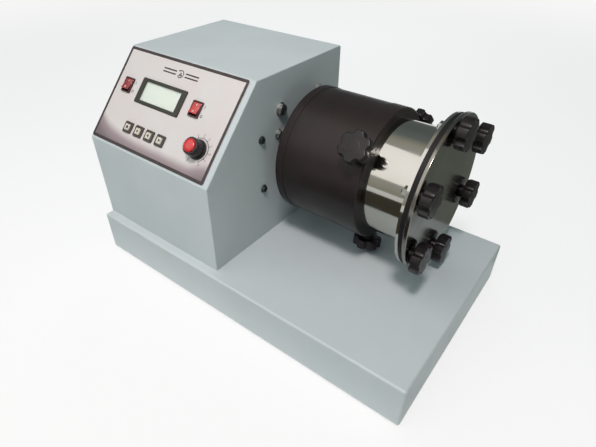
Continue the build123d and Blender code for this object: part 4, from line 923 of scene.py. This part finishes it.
class Ink:
    """Flat printed marks, laid on a level of a workpiece."""

    def __init__(self, work: Workpiece, level: float = 0.0, thick: float = INK) -> None:
        """Starts at a level.

        Args:
            work: Mesh that is printed on.
            level: Height of the ink's underside.
            thick: Thickness of the ink.
        """
        self.work = work
        self.low = level
        self.high = level + thick

    def bar(self, spot: Point, size: Point, turn: float = 0.0) -> None:
        """Prints a bar about a spot, turned in degrees."""
        with self.work.part(None, at(*spot, 0.0, turn)):
            self.work.slab(size, self.low, self.high)

    def dot(self, spot: Point, radius: float, corners: int = 24, turn: float = 0.0) -> None:
        """Prints a round or many-sided dot, turned in degrees."""
        with self.work.part(None, at(*spot, 0.0, turn)):
            self.work.disc(radius, self.low, self.high, corners)

    def arc(self, spot: Point, radius: float, wide: float, start: float = 0.0, end: float = 360.0) -> None:
        """Prints an arc or a ring.

        Args:
            spot: Its centre.
            radius: Radius of its middle line.
            wide: Width of the line.
            start: Angle where it starts, in degrees from the right.
            end: Angle where it ends.
        """
        inner, outer = radius - wide / 2, radius + wide / 2
        corners = [(inner, self.low), (outer, self.low), (outer, self.high), (inner, self.high)]
        with self.work.part(None, at(*spot, 0.0, start)):
            if end - start >= 360.0:
                self.work.turned([*corners, corners[0]], 32)
            else:
                self.work.swept(corners, end - start, max(4, int((end - start) / 6)))

    def figure(self, text: str, spot: Point, size: float) -> None:
        """Prints figures.

        Args:
            text: The figures.
            spot: Their centre.
            size: Height of the type.
        """
        curve = bpy.data.curves.new("figure", "FONT")
        curve.body, curve.size, curve.extrude = text, size * MM, (self.high - self.low) / 2 * MM
        curve.align_x, curve.align_y = "CENTER", "CENTER"
        holder = bpy.data.objects.new("figure", curve)
        bpy.context.scene.collection.objects.link(holder)
        solid = bpy.data.meshes.new_from_object(holder.evaluated_get(bpy.context.evaluated_depsgraph_get()))
        solid.transform(at(*spot, (self.low + self.high) / 2))
        known = set(self.work.bm.verts)
        self.work.bm.from_mesh(solid)
        fresh = [vert for vert in self.work.bm.verts if vert not in known]
        bmesh.ops.remove_doubles(self.work.bm, verts=fresh, dist=WELD)
        bpy.data.objects.remove(holder)
        bpy.data.meshes.remove(solid)


@dataclass
class PanelPrint(Assembly):
    """Ink on the label: border, dial, switch marks and a turning sign."""

    size: Point = (256.1, 158.9)
    middle: Point = (130.25, 83.15)
    border: float = 4.7
    corner: float = 3.8
    scale: float = 17.6
    ticks: float = 19.4
    figures: Point = (23.3, 23.0)
    sign: Point = (0.0, 58.4)
    rule: Point = (28.0, 2.2)
    balls: tuple[Point, ...] = ((-1.75, -1.9), (1.75, -1.9), (0.0, 0.9))

    def lay(self, work: Workpiece, name: str, spot: Point) -> None:
        """Puts a printed piece on the label about a spot."""
        self.finish(work, name, ("label_ink",), "base", panel_place(*spot), (), "printed_label")

    def frame(self) -> None:
        """Prints the dark border round the label."""
        work = Workpiece()
        face = work.sheet(self.size, INK, self.corner)
        work.inset(face, self.border)
        bmesh.ops.delete(work.bm, geom=[face], context="FACES_ONLY")
        bmesh.ops.solidify(work.bm, geom=list(work.bm.faces), thickness=INK * MM)
        self.lay(work, "label_border", self.middle)

    def dial(self) -> None:
        """Prints the speed scale: arc, ticks and figures from 0 to 10."""
        work = Workpiece()
        ink = Ink(work)
        ink.arc((0.0, 0.0), self.scale, 0.9, -60.0, 240.0)
        for step in range(11):
            turn = 240.0 - 30.0 * step
            x, y = math.cos(math.radians(turn)), math.sin(math.radians(turn))
            ink.bar((self.ticks * x, self.ticks * y), (2.8, 0.8), turn)
            ink.figure(str(step), (self.figures[0] * x, self.figures[1] * y), 3.6)
        self.lay(work, "speed_dial_print", KNOB_SPOT)

    def signs(self) -> None:
        """Prints the switch marks, the rules and the turning sign at the head of the label."""
        work = Workpiece()
        ink = Ink(work)
        for across in SWITCHES_ACROSS:
            x, y = across - self.middle[0] + 14.5, SWITCH_UP - self.middle[1]
            ink.bar((x, y + 7.0), (0.9, 4.2))
            ink.arc((x, y - 7.0), 1.9, 0.8)
        x, y = self.sign
        ink.arc(self.sign, 5.6, 1.5, -150.0, 130.0)
        ink.dot((x - 4.4, y + 4.6), 2.3, 3, 200.0)
        for across, up in self.balls:
            ink.dot((x + across, y + up), 1.55)
        for side in (-1, 1):
            for level in (-2.6, 2.6):
                ink.bar((x + side * (10.0 + self.rule[0] / 2), y + level), self.rule)
        self.lay(work, "label_signs", self.middle)

    def build(self) -> None:
        """Prints the whole label."""
        self.frame()
        self.dial()
        self.signs()


@dataclass
class Keys(Assembly):
    """Four key caps: skirt, rounded body, hollow top and a printed symbol."""

    across: tuple[float, ...] = (75.0, 100.0, 125.0, 150.0)
    up: float = 37.0
    side: float = 10.0
    skirt: float = 12.2
    foot: float = -3.0
    top: float = 3.8
    corner: float = 1.3
    hollow: float = 0.3
    symbols: tuple[tuple[int, float], ...] = ((4, 45.0), (3, 180.0), (3, 90.0), (3, 270.0))

    def build(self) -> None:
        """Builds every key cap."""
        for number, (across, (corners, turn)) in enumerate(zip(self.across, self.symbols), 1):
            work, name = Workpiece(), f"key_{number}"
            crown = work.slab((self.side, self.side), self.foot, self.top, self.corner, 0.45)
            work.inset(crown, 0.3)
            work.inset(crown, 0.24, -self.hollow)
            work.slab((self.skirt, self.skirt), self.foot, self.foot + 1.0, 0.6)
            with work.part(1):
                Ink(work, self.top - self.hollow).dot((0.0, 0.0), 2.9, corners, turn)
            self.finish(work, f"{name}_cap", ("key_plastic", "label_ink"), name, panel_place(across, self.up), [name])


@dataclass
class Rockers(Assembly):
    """Both rockers: hollow crown, round belly and their two marks."""

    width: float = 15.4
    reach: float = 8.85
    crest: float = 5.0
    hollow: float = 0.8
    foot: float = 1.8
    belly: float = 6.0
    pivot: float = 0.5
    rest: float = -12.0
    mark: float = 5.5

    def rocker(self, name: str, across: float, finish: str) -> None:
        """Builds one rocker.

        Args:
            name: Solid that it stands for, and the body that it rides on.
            across: Place on the panel.
            finish: Name of its finish.
        """
        work = Workpiece()
        radius = (self.reach ** 2 + self.hollow ** 2) / (2 * self.hollow)
        half = math.degrees(math.asin(self.reach / radius))
        work.arched(radius, self.crest - self.hollow + radius, 270.0 - half, 270.0 + half, self.width, self.foot)
        work.bm.normal_update()
        work.round([edge for edge in work.bm.edges if edge.calc_face_angle(0.0) > 0.6], 0.4)
        work.arched(self.belly, 0.0, 198.0, 342.0, self.width - 0.8, self.foot + 0.1)
        slope = math.asin(self.mark / radius)
        level = self.crest - self.hollow + radius * (1.0 - math.cos(slope))
        for end in (-1, 1):
            with work.part(1, at(0.0, end * self.mark, level, math.degrees(end * slope), "X")):
                ink = Ink(work, -0.04, 0.12)
                if end > 0:
                    ink.bar((0.0, 0.0), (0.8, 3.0))
                else:
                    ink.arc((0.0, 0.0), 1.3, 0.6)
        place = panel_place(across, SWITCH_UP, self.pivot) @ spun(self.rest, "X")
        self.finish(work, f"{name}_cap", (finish, "pointer_white"), name, place, [name], "red_rocker")

    def build(self) -> None:
        """Builds both rockers."""
        self.rocker("mains_rocker", SWITCHES_ACROSS[0], "dark_red_rocker")
        self.rocker("run_rocker", SWITCHES_ACROSS[1], "red_rocker")


@dataclass
class SpeedKnob(Assembly):
    """Fluted speed knob with its skirt and white pointer, and the red cap on it."""

    level: float = 1.6
    radius: float = 13.0
    skirt: float = 15.0
    bore: float = 9.2
    top: float = 18.0
    flutes: int = 18
    flute: float = 0.5
    shaft: float = 3.0
    start: float = 150.0
    cap: float = 10.0
    cap_height: float = 4.0

    def share(self, turn: float) -> float:
        """Gives the share of the grip's radius at a turn."""
        return 1.0 - self.flute / self.radius * (0.5 - 0.5 * math.cos(turn * self.flutes))

    def grip(self) -> None:
        """Builds the skirt, the fluted grip, the shaft's sleeve and the pointer."""
        work, rim, bore = Workpiece(), self.skirt, self.bore
        work.turned([
            (bore, 0.0), (rim - 0.4, 0.0), (rim, 0.4), (rim, 2.2), (rim - 0.8, 3.0), (bore, 3.3), (bore, 0.0),
        ], 64)
        work.disc(self.radius, 2.9, self.top, self.flutes * 8, 0.7, self.share)
        with work.part(1):
            work.turned([(0.0, -2.4), (self.shaft, -2.4), (self.shaft, 6.0), (0.0, 6.0)], 24)
        with work.part(2, spun(self.start)):
            with work.part(None, at(0.0, self.radius - 0.3)):
                work.slab((1.4, 0.8), 3.2, self.top - 0.8)
            with work.part(None, at(0.0, rim - 1.4)):
                work.slab((1.4, 2.6), 2.0, 3.08)
        finishes = ("knob_plastic", "control_steel", "pointer_white")
        self.finish(
            work, "speed_knob_grip", finishes, "speed_knob", panel_place(*KNOB_SPOT, self.level), ["speed_knob"],
        )

    def button(self) -> None:
        """Builds the domed red cap."""
        work, wide, high = Workpiece(), self.cap, self.cap_height
        work.turned([
            (0.0, high), (wide * 0.5, high * 0.95), (wide * 0.8, high * 0.8), (wide * 0.94, high * 0.58),
            (wide, high * 0.3), (wide, 0.0), (0.0, 0.0),
        ])
        place = panel_place(*KNOB_SPOT, self.level + self.top)
        self.finish(work, "speed_knob_button", ("red_cap",), "speed_knob", place, ["speed_knob_cap"])

    def build(self) -> None:
        """Builds the knob and its cap."""
        self.grip()
        self.button()


# Carried-over solids

@dataclass
class Solids:
    """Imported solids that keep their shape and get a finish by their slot."""

    special: dict[str, str] = field(default_factory=lambda: {"key_housings": "key_frame"})

    def dress(self, frame: dict, palette: Palette) -> int:
        """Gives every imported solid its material.

        Args:
            palette: Source of the materials.

        Returns:
            The number of solids dressed.
        """
        slots = {part["node"]: part["material_slot"] for part in frame["record"]["subparts"]}
        for node, solid in frame["nodes"].items():
            material = palette.get(self.special.get(node, slots[node]))
            for slot in solid.material_slots:
                slot.link = "OBJECT"
                slot.material = material
        return len(frame["nodes"])


# Studio

@dataclass
class Studio:
    """Floor, lamps, sky and camera, placed in metres."""

    eye: Vector = field(default_factory=lambda: Vector((0.3840, -0.5064, 0.5719)))
    middle: Vector = field(default_factory=lambda: Vector((0.05, 0.0, 0.2)))
    azimuth: float = -36.82
    descent: float = 37.29
    roll: float = 0.48
    lens: float = 27.89
    backdrop: str = "F8F8F7"
    cool: Colour = (0.6, 0.85, 0.87, 1.0)
    sky_stops: tuple[tuple[float, str], ...] = (
        (0.0, "3E4A4C"), (0.42, "5C6664"), (0.62, "A6A292"), (0.85, "B4B4B2"), (1.0, "BCC0C0"),
    )

    def sheet(self, name: str, low: Point, high: Point, level: float) -> tuple[bpy.types.Object, Graph]:
        """Lays a flat sheet that isn't part of the object.

        Args:
            name: Name of the sheet and of its material.
            low: Its corner at the left and the front.
            high: Its corner at the right and the back.
            level: Its height.

        Returns:
            The sheet and its empty material.
        """
        bm = bmesh.new()
        spot = Matrix.Translation(((low[0] + high[0]) / 2, (low[1] + high[1]) / 2, level))
        spread = Matrix.Diagonal(((high[0] - low[0]) / 2, (high[1] - low[1]) / 2, 1.0, 1.0))
        bmesh.ops.create_grid(bm, x_segments=2, y_segments=2, size=1.0, matrix=spot @ spread)
        mesh = bpy.data.meshes.new(name)
        bm.to_mesh(mesh)
        bm.free()
        graph = Graph.material(name)
        mesh.materials.append(graph.owner)
        sheet = bpy.data.objects.new(name, mesh)
        bpy.context.scene.collection.objects.link(sheet)
        return sheet, graph

    def floor(self) -> None:
        """Builds the pale floor, which keeps the shadow of what stands on it."""
        _, graph = self.sheet("floor", (-9.0, -9.0), (9.0, 9.0), 0.0)
        speck = graph.noise(graph.point(), 60.0, 4.0)
        body = graph.add("BsdfDiffuse", {"Color": graph.mix(speck, "F2F2F1", "EEEEED")})
        x, y, _ = graph.split(graph.point())
        far = graph.calc("SQRT", x * x + y * y).step(1.0, 3.0)
        glow = graph.add("Emission", {"Color": graph.mix(far, "FFFFFF", self.backdrop), "Strength": 1.0})
        seen = (graph.ray("Camera") | graph.ray("Glossy") | graph.ray("Transmission")) * (0.66 + 0.34 * far)
        graph.end(graph.add("MixShader", {0: seen, 1: body.outputs[0], 2: glow.outputs[0]}))

    def card(self, name: str, low: Point, high: Point, colour: str) -> None:
        """Lays a dark card on the floor, which only shows in polished metal.

        Args:
            name: Name of the card.
            low: Its corner at the left and the front.
            high: Its corner at the right and the back.
            colour: Its colour.
        """
        card, graph = self.sheet(name, low, high, 0.004)
        graph.end(graph.add("BsdfDiffuse", {"Color": colour}))
        card.visible_camera = card.visible_diffuse = card.visible_shadow = card.visible_transmission = False

    def lamp(self, name: str, place: Point3, size: Point, watts: float, colour: str, mirrored: bool = True) -> None:
        """Hangs one soft lamp.

        Args:
            name: Name of the lamp.
            place: Where it hangs, from the part's middle.
            size: Width and height.
            watts: Power.
            colour: Colour of its light.
            mirrored: Whether polished metal shows it.
        """
        light = bpy.data.lights.new(name, "AREA")
        light.shape = "RECTANGLE"
        light.size, light.size_y = size
        light.energy = watts
        light.color = shade(colour)[:3]
        holder = bpy.data.objects.new(name, light)
        holder.location = self.middle + Vector(place)
        holder.rotation_euler = Vector(place).to_track_quat("Z", "Y").to_euler()
        holder.visible_glossy = mirrored
        bpy.context.scene.collection.objects.link(holder)

    def sky(self) -> None:
        """Builds the soft surroundings: light in front and overhead, dim behind."""
        world = bpy.data.worlds.new("studio")
        bpy.context.scene.world = world
        graph = Graph(world)
        _, y, z = graph.split(graph.add("TexCoord").outputs["Generated"])
        glossy, ramp = graph.ray("Glossy"), graph.ramp(z * 0.8 - y * 0.6, self.sky_stops)
        tinted = graph.mix(1.0 - glossy, ramp, self.cool, "MULTIPLY")
        body = graph.add("Background", {"Color": tinted, "Strength": 1.0})
        pale = graph.add("Background", {"Color": self.backdrop, "Strength": 1.0})
        seen = graph.ray("Camera") | graph.ray("Transmission") | glossy * 0.1
        graph.end(graph.add("MixShader", {0: seen, 1: body.outputs[0], 2: pale.outputs[0]}), "World")

    def camera(self) -> None:
        """Sets up the camera."""
        data = bpy.data.cameras.new("camera")
        data.lens, data.sensor_width, data.sensor_fit = self.lens, 36.0, "HORIZONTAL"
        data.clip_start, data.clip_end = 0.01, 50.0
        holder = bpy.data.objects.new("camera", data)
        turn = spun(-self.azimuth) @ spun(90.0 - self.descent, "X") @ spun(self.roll)
        holder.matrix_world = Matrix.Translation(self.eye) @ turn
        bpy.context.scene.collection.objects.link(holder)
        bpy.context.scene.camera = holder

    def build(self) -> None:
        """Builds the whole studio."""
        self.floor()
        self.sky()
        self.card("front_card", (-1.3, -1.25), (0.7, -0.2), "48443B")
        self.card("rear_card", (0.2, 0.22), (1.3, 1.7), "82837C")
        self.lamp("overhead", (-0.62, -1.1, 1.47), (2.3, 2.1), 15.0, "FFF8F6")
        self.lamp("key", (0.38, -0.8, 1.8), (0.3, 0.3), 24.0, "FFF5F4")
        self.lamp("fill", (-1.0, 1.5, 0.9), (1.2, 1.0), 8.0, "F4FAFF", False)
        self.camera()
        bpy.context.scene.view_settings.view_transform = "Standard"


def main() -> None:
    """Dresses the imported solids, builds the detailed pieces and sets up the studio."""
    logging.basicConfig(level=logging.INFO, format="%(message)s")
    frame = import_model()
    palette = Palette()
    LOG.info("solids dressed: %d", Solids().dress(frame, palette))
    for kind in (StarKnobs, WallBolts, PanelPrint, Keys, Rockers, SpeedKnob):
        assembly = kind(palette)
        assembly.build()
        for piece in assembly.pieces:
            LOG.info("%s: %d faces", piece.name, len(piece.data.polygons))
    Studio().build()


if __name__ == "__main__":
    main()
